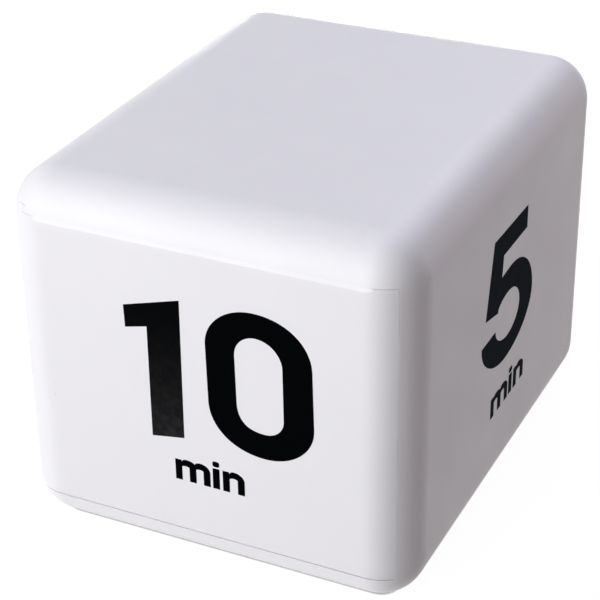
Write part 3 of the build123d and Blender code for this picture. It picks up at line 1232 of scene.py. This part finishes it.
@dataclass
class SwitchLabels:
    """The two positions of the slide switch, printed at the ends of its finger recess.

    Attributes:
        height: Height of the letters' line.
        spacing: From the recess's middle to a word's middle.
        thickness: Thickness of the ink.
    """

    height: float = 2.6
    spacing: float = 10.0
    thickness: float = 0.02

    def build(self) -> None:
        """Print ON at the resting end and OFF at the other."""
        travel = next(joint for joint in frame["joints"] if joint["name"] == "switch_slide")["range_m"][1]
        button = middle_of("switch_button")
        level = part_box("base_panel")[0].z
        for text, end in (("ON", -1), ("OFF", 1)):
            curve = bpy.data.curves.new(f"label_{text.lower()}", "FONT")
            curve.body = text
            curve.size = self.height * MM
            curve.align_x = "CENTER"
            curve.align_y = "CENTER"
            curve.extrude = self.thickness / 2 * MM
            mesh = mesh_of(curve.name, curve)
            place = Vector((button.x + travel / 2 + end * self.spacing * MM, button.y, level))
            mesh.transform(Side.UNDER.placing(place))
            add_piece(mesh, "case", [LABEL_INK])


def spun_mesh(
    name: str, profile: Sequence[tuple[float, float]], zones: Sequence[int], segments: int, bevel: float
) -> bpy.types.Mesh:
    """Spin a profile about X and soften its sharp rings.

    Args:
        name: Name of the mesh.
        profile: Points as distances along the axis and from it, in millimetres.
        zones: Material number of each stretch of the profile.
        segments: Number of steps round.
        bevel: Width of the softened rings.

    Returns:
        The mesh, about the origin.
    """
    shape = bmesh.new()
    verts = [shape.verts.new((x * MM, radius * MM, 0.0)) for x, radius in profile]
    edges = [shape.edges.new(pair) for pair in zip(verts, verts[1:])]
    bmesh.ops.spin(
        shape,
        geom=verts + edges,
        cent=(0, 0, 0),
        axis=(1, 0, 0),
        angle=math.tau,
        steps=segments,
        use_merge=True,
    )
    bmesh.ops.remove_doubles(shape, verts=shape.verts, dist=MERGE_DISTANCE)
    bmesh.ops.recalc_face_normals(shape, faces=shape.faces)
    middles = [(Vector(a) + Vector(b)) / 2 * MM for a, b in zip(profile, profile[1:])]
    for face in shape.faces:
        centre = face.calc_center_median()
        place = Vector((centre.x, math.hypot(centre.y, centre.z)))
        nearest = min(range(len(middles)), key=lambda number: (middles[number] - place).length)
        face.material_index = zones[nearest]
    sharp = [edge for edge in shape.edges if edge.calc_face_angle(0.0) > SHARP_ANGLE]
    bmesh.ops.bevel(
        shape,
        geom=sharp,
        offset=bevel * MM,
        affect="EDGES",
        segments=BEVEL_STEPS,
        profile=0.5,
        material=-1,
        clamp_overlap=True,
    )
    bmesh.ops.dissolve_degenerate(shape, dist=FLAT_DISTANCE, edges=shape.edges)
    return finished(name, shape)


def finished(name: str, shape: bmesh.types.BMesh) -> bpy.types.Mesh:
    """Turn a bmesh into a smooth mesh with its sharp edges kept.

    Args:
        name: Name of the mesh.
        shape: The bmesh, which is freed.

    Returns:
        The mesh.
    """
    mesh = bpy.data.meshes.new(name)
    shape.to_mesh(mesh)
    shape.free()
    mesh.shade_smooth()
    mesh.set_sharp_from_angle(angle=SHARP_ANGLE)
    return mesh


class Pole(Enum):
    """The way that a cell's positive end points along X."""

    RIGHT = 1
    LEFT = -1


class CellZone(Enum):
    """Parts of a cell's surface, by material number."""

    STEEL = 0
    SLEEVE = 1
    LINE = 2
    BAND = 3
    WASHER = 4


@dataclass
class DryCell:
    """One sleeved cell, drawn with its crimped ends, fibre washer and cap.

    Attributes:
        node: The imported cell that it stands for.
        pole: The way that its positive end points.
        nub_length: How far the cap stands out.
        nub_radius: Radius of the cap.
        lip: How far the sleeve folds over an end.
        crimp: Depth of the fold.
        washer_depth: How far the washer lies under the fold.
        flange_radius: Radius of the cap's foot.
        band_share: Share of the length where the band begins, from the negative end.
        sign_share: Share of the length between the cell's middle and a printed sign.
        line_width: Width of the line beside the band.
        mark_reach: Length of a bar of a printed sign.
        mark_bar: Width of that bar.
        mark_depth: Thickness of the print, half of it sunk in the sleeve.
        mark_cells: Steps across a bar.
        segments: Steps round the cell.
    """

    node: str
    pole: Pole
    nub_length: float = 1.0
    nub_radius: float = 1.9
    lip: float = 0.55
    crimp: float = 0.35
    washer_depth: float = 0.5
    flange_radius: float = 2.8
    band_share: float = 0.74
    sign_share: float = 0.36
    line_width: float = 0.7
    mark_reach: float = 2.6
    mark_bar: float = 0.6
    mark_depth: float = 0.03
    mark_cells: int = 3
    segments: int = 72

    def rings(self, length: float, radius: float) -> list[tuple[CellZone, float, float]]:
        """List the profile from the negative end to the cap.

        Args:
            length: Length over both ends.
            radius: Radius of the sleeve.

        Returns:
            The zone of the stretch that ends at each point, with its place along the axis and its radius.
        """
        start = -length / 2
        end = length / 2 - self.nub_length
        band = start + self.band_share * length
        inner = radius - self.lip
        sunk = end - self.washer_depth
        return [
            (CellZone.STEEL, start, 0.0),
            (CellZone.STEEL, start, inner - self.crimp),
            (CellZone.STEEL, start + self.crimp / 2, inner),
            (CellZone.SLEEVE, start + self.crimp / 4, inner),
            (CellZone.SLEEVE, start + self.crimp / 4, radius - self.crimp),
            (CellZone.SLEEVE, start + self.crimp, radius),
            (CellZone.SLEEVE, band - self.line_width, radius),
            (CellZone.LINE, band, radius),
            (CellZone.BAND, end - self.crimp, radius),
            (CellZone.BAND, end, radius - self.crimp),
            (CellZone.BAND, end, inner),
            (CellZone.BAND, sunk, inner),
            (CellZone.WASHER, sunk, self.flange_radius),
            (CellZone.STEEL, sunk + self.crimp / 2, self.flange_radius),
            (CellZone.STEEL, end, self.nub_radius),
            (CellZone.STEEL, length / 2, self.nub_radius),
            (CellZone.STEEL, length / 2, 0.0),
        ]

    def sign(self, name: str, along: float, radius: float, bars: int) -> bpy.types.Mesh:
        """Print a sign on the sleeve, bent round it.

        Args:
            name: Name of the mesh.
            along: Its place along the axis.
            radius: Radius of the sleeve.
            bars: One for minus, two for plus.

        Returns:
            The sign's mesh, about the cell's own middle.
        """
        shape = bmesh.new()
        cells = round(self.mark_cells * self.mark_reach / self.mark_bar)
        bmesh.ops.create_grid(shape, x_segments=cells, y_segments=cells, size=self.mark_reach / 2 * MM)
        half = self.mark_bar / 2 * MM
        bare = []
        for face in shape.faces:
            centre = face.calc_center_median()
            across = abs(centre.x) < half and bars > 1
            if abs(centre.y) > half and not across:
                bare.append(face)
        bmesh.ops.delete(shape, geom=bare, context="FACES")
        surface = (radius + self.mark_depth / 2) * MM
        for vert in shape.verts:
            turn = vert.co.y / surface
            vert.co = (vert.co.x + along * MM, -surface * math.cos(turn), surface * math.sin(turn))
        bmesh.ops.recalc_face_normals(shape, faces=shape.faces)
        bmesh.ops.solidify(shape, geom=shape.faces, thickness=self.mark_depth * MM)
        return finished(name, shape)

    def build(self) -> None:
        """Make the cell and its two signs."""
        low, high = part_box(self.node)
        length = (high.x - low.x) / MM
        radius = (high.z - low.z) / 2 / MM
        rings = self.rings(length, radius)
        zones = [zone.value for zone, _, _ in rings[1:]]
        profile = [(x, r) for _, x, r in rings]
        cell = spun_mesh(f"{self.node}_sleeved", profile, zones, self.segments, self.crimp / 3)
        turn = Matrix.Rotation(0.0 if self.pole is Pole.RIGHT else math.pi, 4, "Z")
        place = Matrix.Translation((low + high) / 2)
        cell.transform(place @ turn)
        finishes = [NICKEL, SLATE_FOIL, WHITE_PRINT, SILVER_FOIL, FIBRE_WASHER]
        add_piece(cell, "case", finishes, [self.node])
        for name, side, bars, ink in (("plus", 1, 2, SLATE_FOIL), ("minus", -1, 1, WHITE_PRINT)):
            along = side * self.pole.value * self.sign_share * length
            sign = self.sign(f"{self.node}_{name}", along, radius, bars)
            sign.transform(place)
            add_piece(sign, "case", [ink])


@dataclass
class CoilSpring:
    """A coil of round wire that presses on a cell's flat end.

    Attributes:
        node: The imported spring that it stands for.
        half_turns: Half turns about the vertical, none for a coil that opens to the right.
        wire_radius: Radius of the wire.
        turns: Number of turns.
        wire_sides: Sides of the wire's section.
        steps: Steps in a turn.
    """

    node: str
    half_turns: int
    wire_radius: float = 0.28
    turns: float = 2.5
    wire_sides: int = 12
    steps: int = 40

    def build(self) -> None:
        """Wind the wire about X by a spin that climbs, close its ends and put it in place."""
        low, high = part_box(self.node)
        middle = (low + high) / 2
        wire = self.wire_radius * MM
        radius = (high.z - low.z) / 2 - wire
        climb = high.x - low.x - 2 * wire
        count = round(self.turns * self.steps)
        shape = bmesh.new()
        bmesh.ops.create_circle(shape, cap_ends=False, segments=self.wire_sides, radius=wire)
        bmesh.ops.translate(shape, vec=(-climb / 2, radius, 0.0), verts=shape.verts)
        bmesh.ops.spin(
            shape,
            geom=shape.verts[:] + shape.edges[:],
            cent=(0, 0, 0),
            axis=(1, 0, 0),
            dvec=(climb / count, 0.0, 0.0),
            angle=math.tau * self.turns,
            steps=count,
        )
        bmesh.ops.holes_fill(shape, edges=shape.edges, sides=0)
        bmesh.ops.recalc_face_normals(shape, faces=shape.faces)
        mesh = finished(f"{self.node}_wire", shape)
        mesh.transform(Matrix.Translation(middle) @ Matrix.Rotation(self.half_turns * math.pi, 4, "Z"))
        add_piece(mesh, "case", [NICKEL], [self.node])


class Facing(Enum):
    """The way that a group's screw heads face, as a turn about X from facing down."""

    DOWN = 0.0
    UP = math.pi
    FRONT = -math.pi / 2


@dataclass
class CrossScrews:
    """Pan head screws with a cross recess that stand for one packed group.

    Attributes:
        node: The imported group.
        facing: The way that the heads face.
        head_radius: Radius of a head.
        head_height: Height of a head.
        face_radius: Radius of the flat on the head.
        dome: How far the head's edge falls from that flat.
        core_radius: Radius of the shank.
        tip: Length of the pointed end.
        recess: Length of the cross.
        recess_depth: Depth of the cross.
        recess_taper: Size of the recess's floor, as a share of its mouth.
        segments: Sides of the round parts.
    """

    node: str
    facing: Facing
    head_radius: float = 1.8
    head_height: float = 1.2
    face_radius: float = 1.35
    dome: float = 0.3
    core_radius: float = 0.85
    tip: float = 1.0
    recess: float = 1.9
    recess_depth: float = 0.7
    recess_taper: float = 0.6
    segments: int = 36

    def one(self, length: float) -> bpy.types.Mesh:
        """Model one screw from its recess outwards: face at the origin, shank along Z.

        Args:
            length: Length over all.

        Returns:
            The screw's mesh.
        """
        shape = bmesh.new()
        bmesh.ops.create_grid(shape, x_segments=3, y_segments=3, size=self.recess / 2 * MM)
        corner = self.recess / 4 * MM
        corners = []
        for face in shape.faces:
            centre = face.calc_center_median()
            if min(abs(centre.x), abs(centre.y)) > corner:
                corners.append(face)
        bmesh.ops.delete(shape, geom=corners, context="FACES")
        mouth = [edge for edge in shape.edges if edge.is_boundary]
        lid = shape.faces[:]
        sunk = bmesh.ops.extrude_face_region(shape, geom=lid)["geom"]
        bmesh.ops.delete(shape, geom=lid, context="FACES")
        floor = [item for item in sunk if isinstance(item, bmesh.types.BMVert)]
        taper = self.recess_taper
        bmesh.ops.scale(shape, vec=(taper, taper, 1.0), verts=floor)
        bmesh.ops.translate(shape, vec=(0.0, 0.0, self.recess_depth * MM), verts=floor)
        rim = bmesh.ops.create_circle(
            shape, cap_ends=False, segments=self.segments, radius=self.face_radius * MM
        )
        ring = list({edge for vert in rim["verts"] for edge in vert.link_edges})
        bmesh.ops.bridge_loops(shape, edges=mouth + ring)
        radius = self.face_radius
        # From the flat outwards and down: the domed edge, the head's side, the shank and the point
        for wide, deep in (
            (self.head_radius - self.dome / 4, self.dome / 2),
            (self.head_radius, self.dome),
            (self.head_radius, self.head_height),
            (self.core_radius, self.head_height),
            (self.core_radius, length - self.tip),
            (self.core_radius / 4, length),
        ):
            grown = bmesh.ops.extrude_edge_only(shape, edges=ring)["geom"]
            verts = [item for item in grown if isinstance(item, bmesh.types.BMVert)]
            ring = [item for item in grown if isinstance(item, bmesh.types.BMEdge)]
            bmesh.ops.scale(shape, vec=(wide / radius, wide / radius, 1.0), verts=verts)
            rise = deep * MM - verts[0].co.z
            bmesh.ops.translate(shape, vec=(0.0, 0.0, rise), verts=verts)
            radius = wide
        bmesh.ops.holes_fill(shape, edges=ring, sides=0)
        bmesh.ops.recalc_face_normals(shape, faces=shape.faces)
        return finished(f"{self.node}_one", shape)

    def places(self) -> list[Vector]:
        """Give the middles of the heads' faces, from the corners of the group's box.

        Returns:
            Four places, or two for a group that faces the front.
        """
        low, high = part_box(self.node)
        inset = self.head_radius * MM
        xs = (low.x + inset, high.x - inset)
        if self.facing is Facing.FRONT:
            return [Vector((x, low.y, (low.z + high.z) / 2)) for x in xs]
        level = low.z if self.facing is Facing.DOWN else high.z
        return [Vector((x, y, level)) for x in xs for y in (low.y + inset, high.y - inset)]

    def build(self) -> None:
        """Make the group in one piece."""
        low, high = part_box(self.node)
        along = high.y - low.y if self.facing is Facing.FRONT else high.z - low.z
        one = self.one(along / MM)
        group = bmesh.new()
        for place in self.places():
            copy = one.copy()
            copy.transform(Matrix.Translation(place) @ Matrix.Rotation(self.facing.value, 4, "X"))
            group.from_mesh(copy)
            bpy.data.meshes.remove(copy)
        bpy.data.meshes.remove(one)
        add_piece(finished(f"{self.node}_pan_head", group), "case", [ZINC], [self.node])


@dataclass(frozen=True)
class Lamp:
    """A soft rectangular studio lamp aimed at the timer.

    Attributes:
        name: What it does.
        towards: The way from the timer to the lamp.
        distance: How far off it stands.
        size: Its side.
        level: Light that it gives a white sheet facing it, where one is white.
        colour: Its tint.
    """

    name: str
    towards: tuple[float, float, float]
    distance: float
    size: float
    level: float
    colour: Studio = Studio.WHITE

    def build(self, target: Vector) -> None:
        """Hang the lamp.

        Args:
            target: The point that it is aimed at.
        """
        data = bpy.data.lights.new(self.name, "AREA")
        data.shape = "SQUARE"
        data.size = self.size * MM
        # A facing white sheet sends back the power over the square of pi times the distance
        data.energy = self.level * (math.pi * self.distance * MM) ** 2
        data.color = linear(self.colour.value)[:3]
        lamp = bpy.data.objects.new(self.name, data)
        bpy.context.scene.collection.objects.link(lamp)
        way = Vector(self.towards).normalized()
        lamp.location = target + way * self.distance * MM
        lamp.rotation_euler = way.to_track_quat("Z", "Y").to_euler()


@dataclass
class StudioCamera:
    """The camera at the photograph's viewing angle.

    Attributes:
        azimuth: Turn from the front towards the right side, in degrees.
        elevation: Height over the level, in degrees.
        roll: Turn about its own line of sight, in degrees.
        distance: From the timer's middle to the lens.
        aside: How far it is moved along its own right and up.
        lens: Focal length on the sensor below.
        sensor: Width of the sensor.
    """

    azimuth: float = 25.840
    elevation: float = 29.222
    roll: float = -0.845
    distance: float = 273.63
    aside: tuple[float, float] = (-2.841, -3.310)
    lens: float = 110.265
    sensor: float = 36.0

    def build(self, middle: Vector) -> None:
        """Set up the camera.

        Args:
            middle: The middle of the timer.
        """
        azimuth, elevation = math.radians(self.azimuth), math.radians(self.elevation)
        level = math.cos(elevation)
        back = Vector((math.sin(azimuth) * level, -math.cos(azimuth) * level, math.sin(elevation)))
        right = Vector((math.cos(azimuth), math.sin(azimuth), 0.0))
        axes = Matrix((right, back.cross(right), back)).transposed()
        turned = axes @ Matrix.Rotation(math.radians(self.roll), 3, "Z")
        data = bpy.data.cameras.new("studio_camera")
        data.sensor_width = self.sensor
        data.lens = self.lens
        camera = bpy.data.objects.new("studio_camera", data)
        bpy.context.scene.collection.objects.link(camera)
        offset = Vector((*self.aside, self.distance)) * MM
        camera.matrix_world = Matrix.Translation(middle + turned @ offset) @ turned.to_4x4()
        bpy.context.scene.camera = camera


@dataclass
class StudioSet:
    """The pale floor, the soft light and the camera.

    Attributes:
        floor_side: Side of the floor.
        floor_gap: How far it lies under the timer.
        floor_share: How much of the light on it the camera sees.
        floor_glow: How bright the camera sees it besides.
        contact_reach: Height of the narrow gap under the timer's edge where a contact shadow is painted into the
            glow.
        contact_samples: Number of rays that feel for that gap.
        ambient: Level of the even light all round.
        camera: The camera.
        lamps: The lamps.
    """

    floor_side: float = 3000.0
    floor_gap: float = 0.03
    floor_share: float = 0.18
    floor_glow: float = 0.92
    contact_reach: float = 0.63
    contact_samples: int = 16
    ambient: float = 0.168
    camera: StudioCamera = field(default_factory=StudioCamera)
    lamps: tuple[Lamp, ...] = (
        Lamp("key_lamp", (-0.35, -0.85, 0.12), distance=600.0, size=420.0, level=0.55),
        Lamp("high_lamp", (-0.60, -0.60, 0.60), distance=600.0, size=420.0, level=0.453),
        Lamp("top_lamp", (0.10, 0.70, 0.80), distance=700.0, size=500.0, level=0.428, colour=Studio.COOL),
        Lamp("side_lamp", (0.80, 0.75, 0.15), distance=600.0, size=400.0, level=0.088, colour=Studio.AMBER),
        Lamp("table_lamp", (-0.35, -0.10, -0.93), distance=600.0, size=400.0, level=0.35),
        Lamp("near_lamp", (0.10, -0.90, 0.45), distance=170.0, size=60.0, level=0.049),
        Lamp("back_lamp", (-0.45, 0.90, -0.12), distance=600.0, size=160.0, level=0.30),
        Lamp("under_lamp", (-0.35, 0.45, -0.82), distance=600.0, size=400.0, level=0.36),
    )

    @staticmethod
    def seen(tree: NodeTree) -> NodeSocket:
        """Give a factor of one for rays that show the set: straight, mirrored or through glass.

        Args:
            tree: The tree of the floor or the world.

        Returns:
            The factor's socket.
        """
        rays = add_node(tree, "ShaderNodeLightPath").outputs
        mirrored = add_node(
            tree,
            "ShaderNodeMath",
            {0: rays["Is Camera Ray"], 1: rays["Is Glossy Ray"]},
            operation="MAXIMUM",
        ).outputs[0]
        return add_node(
            tree,
            "ShaderNodeMath",
            {0: mirrored, 1: rays["Is Transmission Ray"]},
            operation="MAXIMUM",
        ).outputs[0]

    def floor_material(self) -> bpy.types.Material:
        """Make the floor: plain pale paper, seen as white with a light shadow and a painted contact shadow, and
        clear from below.

        Returns:
            The floor's material.
        """
        material = bpy.data.materials.new("pale_paper_floor")
        material.use_nodes = True
        tree = material.node_tree
        tree.nodes.clear()
        paper = add_node(tree, "ShaderNodeBsdfDiffuse", {"Color": linear(Studio.PAPER.value)})
        thin = add_node(tree, "ShaderNodeBsdfDiffuse", {"Color": (self.floor_share,) * 3 + (1.0,)})
        # Painted contact shadow: the glow dims with the square of the open share that the AO node finds under the
        # edge
        open_share = add_node(
            tree,
            "ShaderNodeAmbientOcclusion",
            {"Distance": self.contact_reach * MM},
            samples=self.contact_samples,
        ).outputs["AO"]
        steeper = add_node(
            tree, "ShaderNodeMath", {0: open_share, 1: open_share}, operation="MULTIPLY"
        ).outputs[0]
        level = add_node(tree, "ShaderNodeMath", {0: steeper, 1: self.floor_glow}, operation="MULTIPLY")
        glow = add_node(
            tree, "ShaderNodeEmission", {"Color": linear(Studio.WHITE.value), "Strength": level.outputs[0]}
        )
        white = add_node(tree, "ShaderNodeAddShader", {0: thin.outputs[0], 1: glow.outputs[0]})
        both = add_node(
            tree, "ShaderNodeMixShader", {0: self.seen(tree), 1: paper.outputs[0], 2: white.outputs[0]}
        )
        below = add_node(tree, "ShaderNodeNewGeometry").outputs["Backfacing"]
        clear = add_node(tree, "ShaderNodeBsdfTransparent")
        either = add_node(tree, "ShaderNodeMixShader", {0: below, 1: both.outputs[0], 2: clear.outputs[0]})
        add_node(tree, "ShaderNodeOutputMaterial", {"Surface": either.outputs[0]})
        return material

    def build_floor(self) -> None:
        """Lay the floor just under the timer."""
        mesh = bpy.data.meshes.new("floor")
        shape = bmesh.new()
        bmesh.ops.create_grid(shape, x_segments=1, y_segments=1, size=self.floor_side / 2 * MM)
        bmesh.ops.translate(shape, vec=(0.0, 0.0, -self.floor_gap * MM), verts=shape.verts)
        shape.to_mesh(mesh)
        shape.free()
        mesh.materials.append(self.floor_material())
        floor = bpy.data.objects.new("floor", mesh)
        bpy.context.scene.collection.objects.link(floor)
        floor.visible_shadow = False
        floor.visible_diffuse = False

    def build_world(self) -> None:
        """Light the set evenly, a little cooler from above, and show it as white."""
        world = bpy.data.worlds.new("studio_world")
        bpy.context.scene.world = world
        world.use_nodes = True
        tree = world.node_tree
        tree.nodes.clear()
        way = add_node(tree, "ShaderNodeTexCoord").outputs["Generated"]
        height = add_node(tree, "ShaderNodeSeparateXYZ", {0: way}).outputs["Z"]
        tint = add_node(
            tree,
            "ShaderNodeMix",
            {"Factor": height, "A": linear(Studio.WARM.value), "B": linear(Studio.COOL.value)},
            data_type="RGBA",
        ).outputs["Result"]
        ambient = add_node(tree, "ShaderNodeBackground", {"Color": tint, "Strength": self.ambient})
        white = add_node(
            tree, "ShaderNodeBackground", {"Color": linear(Studio.WHITE.value), "Strength": 1.0}
        )
        both = add_node(
            tree, "ShaderNodeMixShader", {0: self.seen(tree), 1: ambient.outputs[0], 2: white.outputs[0]}
        )
        add_node(tree, "ShaderNodeOutputWorld", {"Surface": both.outputs[0]})

    def build(self) -> None:
        """Set up floor, world, lamps and camera."""
        middle = (Vector(CAD_BOX[0]) + Vector(CAD_BOX[1])) / 2
        bpy.context.scene.view_settings.view_transform = "Standard"
        self.build_floor()
        self.build_world()
        for lamp in self.lamps:
            lamp.build(middle)
        self.camera.build(middle)


FRONT_WORD = Mark("min", WordMin().outlines(), shift=(0.8, -13.88), spread=0.0)
SIDE_WORD = Mark("min", WordMin().outlines(), SIDE_INK_PAINTED_SHEEN, shift=(0.2, -13.25), stretch=1.3, spread=0.0)
PRINTED_SIDES: tuple[PrintedSide, ...] = (
    PrintedSide(
        Side.FRONT,
        "front_cover",
        "cover",
        (Mark("1", NUMERAL_ONE, THIN_INK), Mark("0", NUMERAL_ZERO, spread=0.01), FRONT_WORD),
    ),
    PrintedSide(
        Side.RIGHT,
        "case_shell",
        "case",
        (Mark("5", NUMERAL_FIVE, SIDE_INK_PAINTED_SHEEN, spread=0.1), SIDE_WORD),
    ),
    PrintedSide(
        Side.LEFT,
        "case_shell",
        "case",
        (
            Mark("1", NUMERAL_ONE, SIDE_INK_PAINTED_SHEEN, shift=(-3.3, 0.6), stretch=1.3),
            Mark("5", NUMERAL_FIVE, SIDE_INK_PAINTED_SHEEN, shift=(8.5, -0.6)),
            SIDE_WORD,
        ),
    ),
    PrintedSide(
        Side.BACK,
        "case_shell",
        "case",
        (Mark("1", NUMERAL_ONE, shift=(7.0, 0.0)), FRONT_WORD),
    ),
)


def dress_nodes() -> None:
    """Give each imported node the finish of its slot."""
    for subpart in frame["record"]["subparts"]:
        node = frame["nodes"][subpart["node"]]
        finish = SLOT_FINISHES[subpart["material_slot"]]
        for slot in node.material_slots:
            slot.material = finish.material()
        LOG.info("%s dressed in %s", node.name, finish.name)


def clear_window() -> None:
    """Let lamp light through the display's window, where a refracting body would hold it back."""
    frame["nodes"]["display_lens"].visible_shadow = False


def main() -> None:
    """Dress the timer, print its sides, fit its small pieces and set up the studio."""
    logging.basicConfig(level=logging.INFO, format="%(name)s %(message)s")
    dress_nodes()
    clear_window()
    for part in (
        *PRINTED_SIDES,
        Readout(),
        SwitchLabels(),
        DryCell("battery_upper", Pole.RIGHT),
        DryCell("battery_lower", Pole.LEFT),
        CoilSpring("spring_upper", half_turns=0),
        CoilSpring("spring_lower", half_turns=1),
        CrossScrews("panel_screws", Facing.DOWN),
        CrossScrews("board_screws", Facing.UP),
        CrossScrews("tray_screws", Facing.FRONT),
        StudioSet(),
    ):
        part.build()


if __name__ == "__main__":
    main()
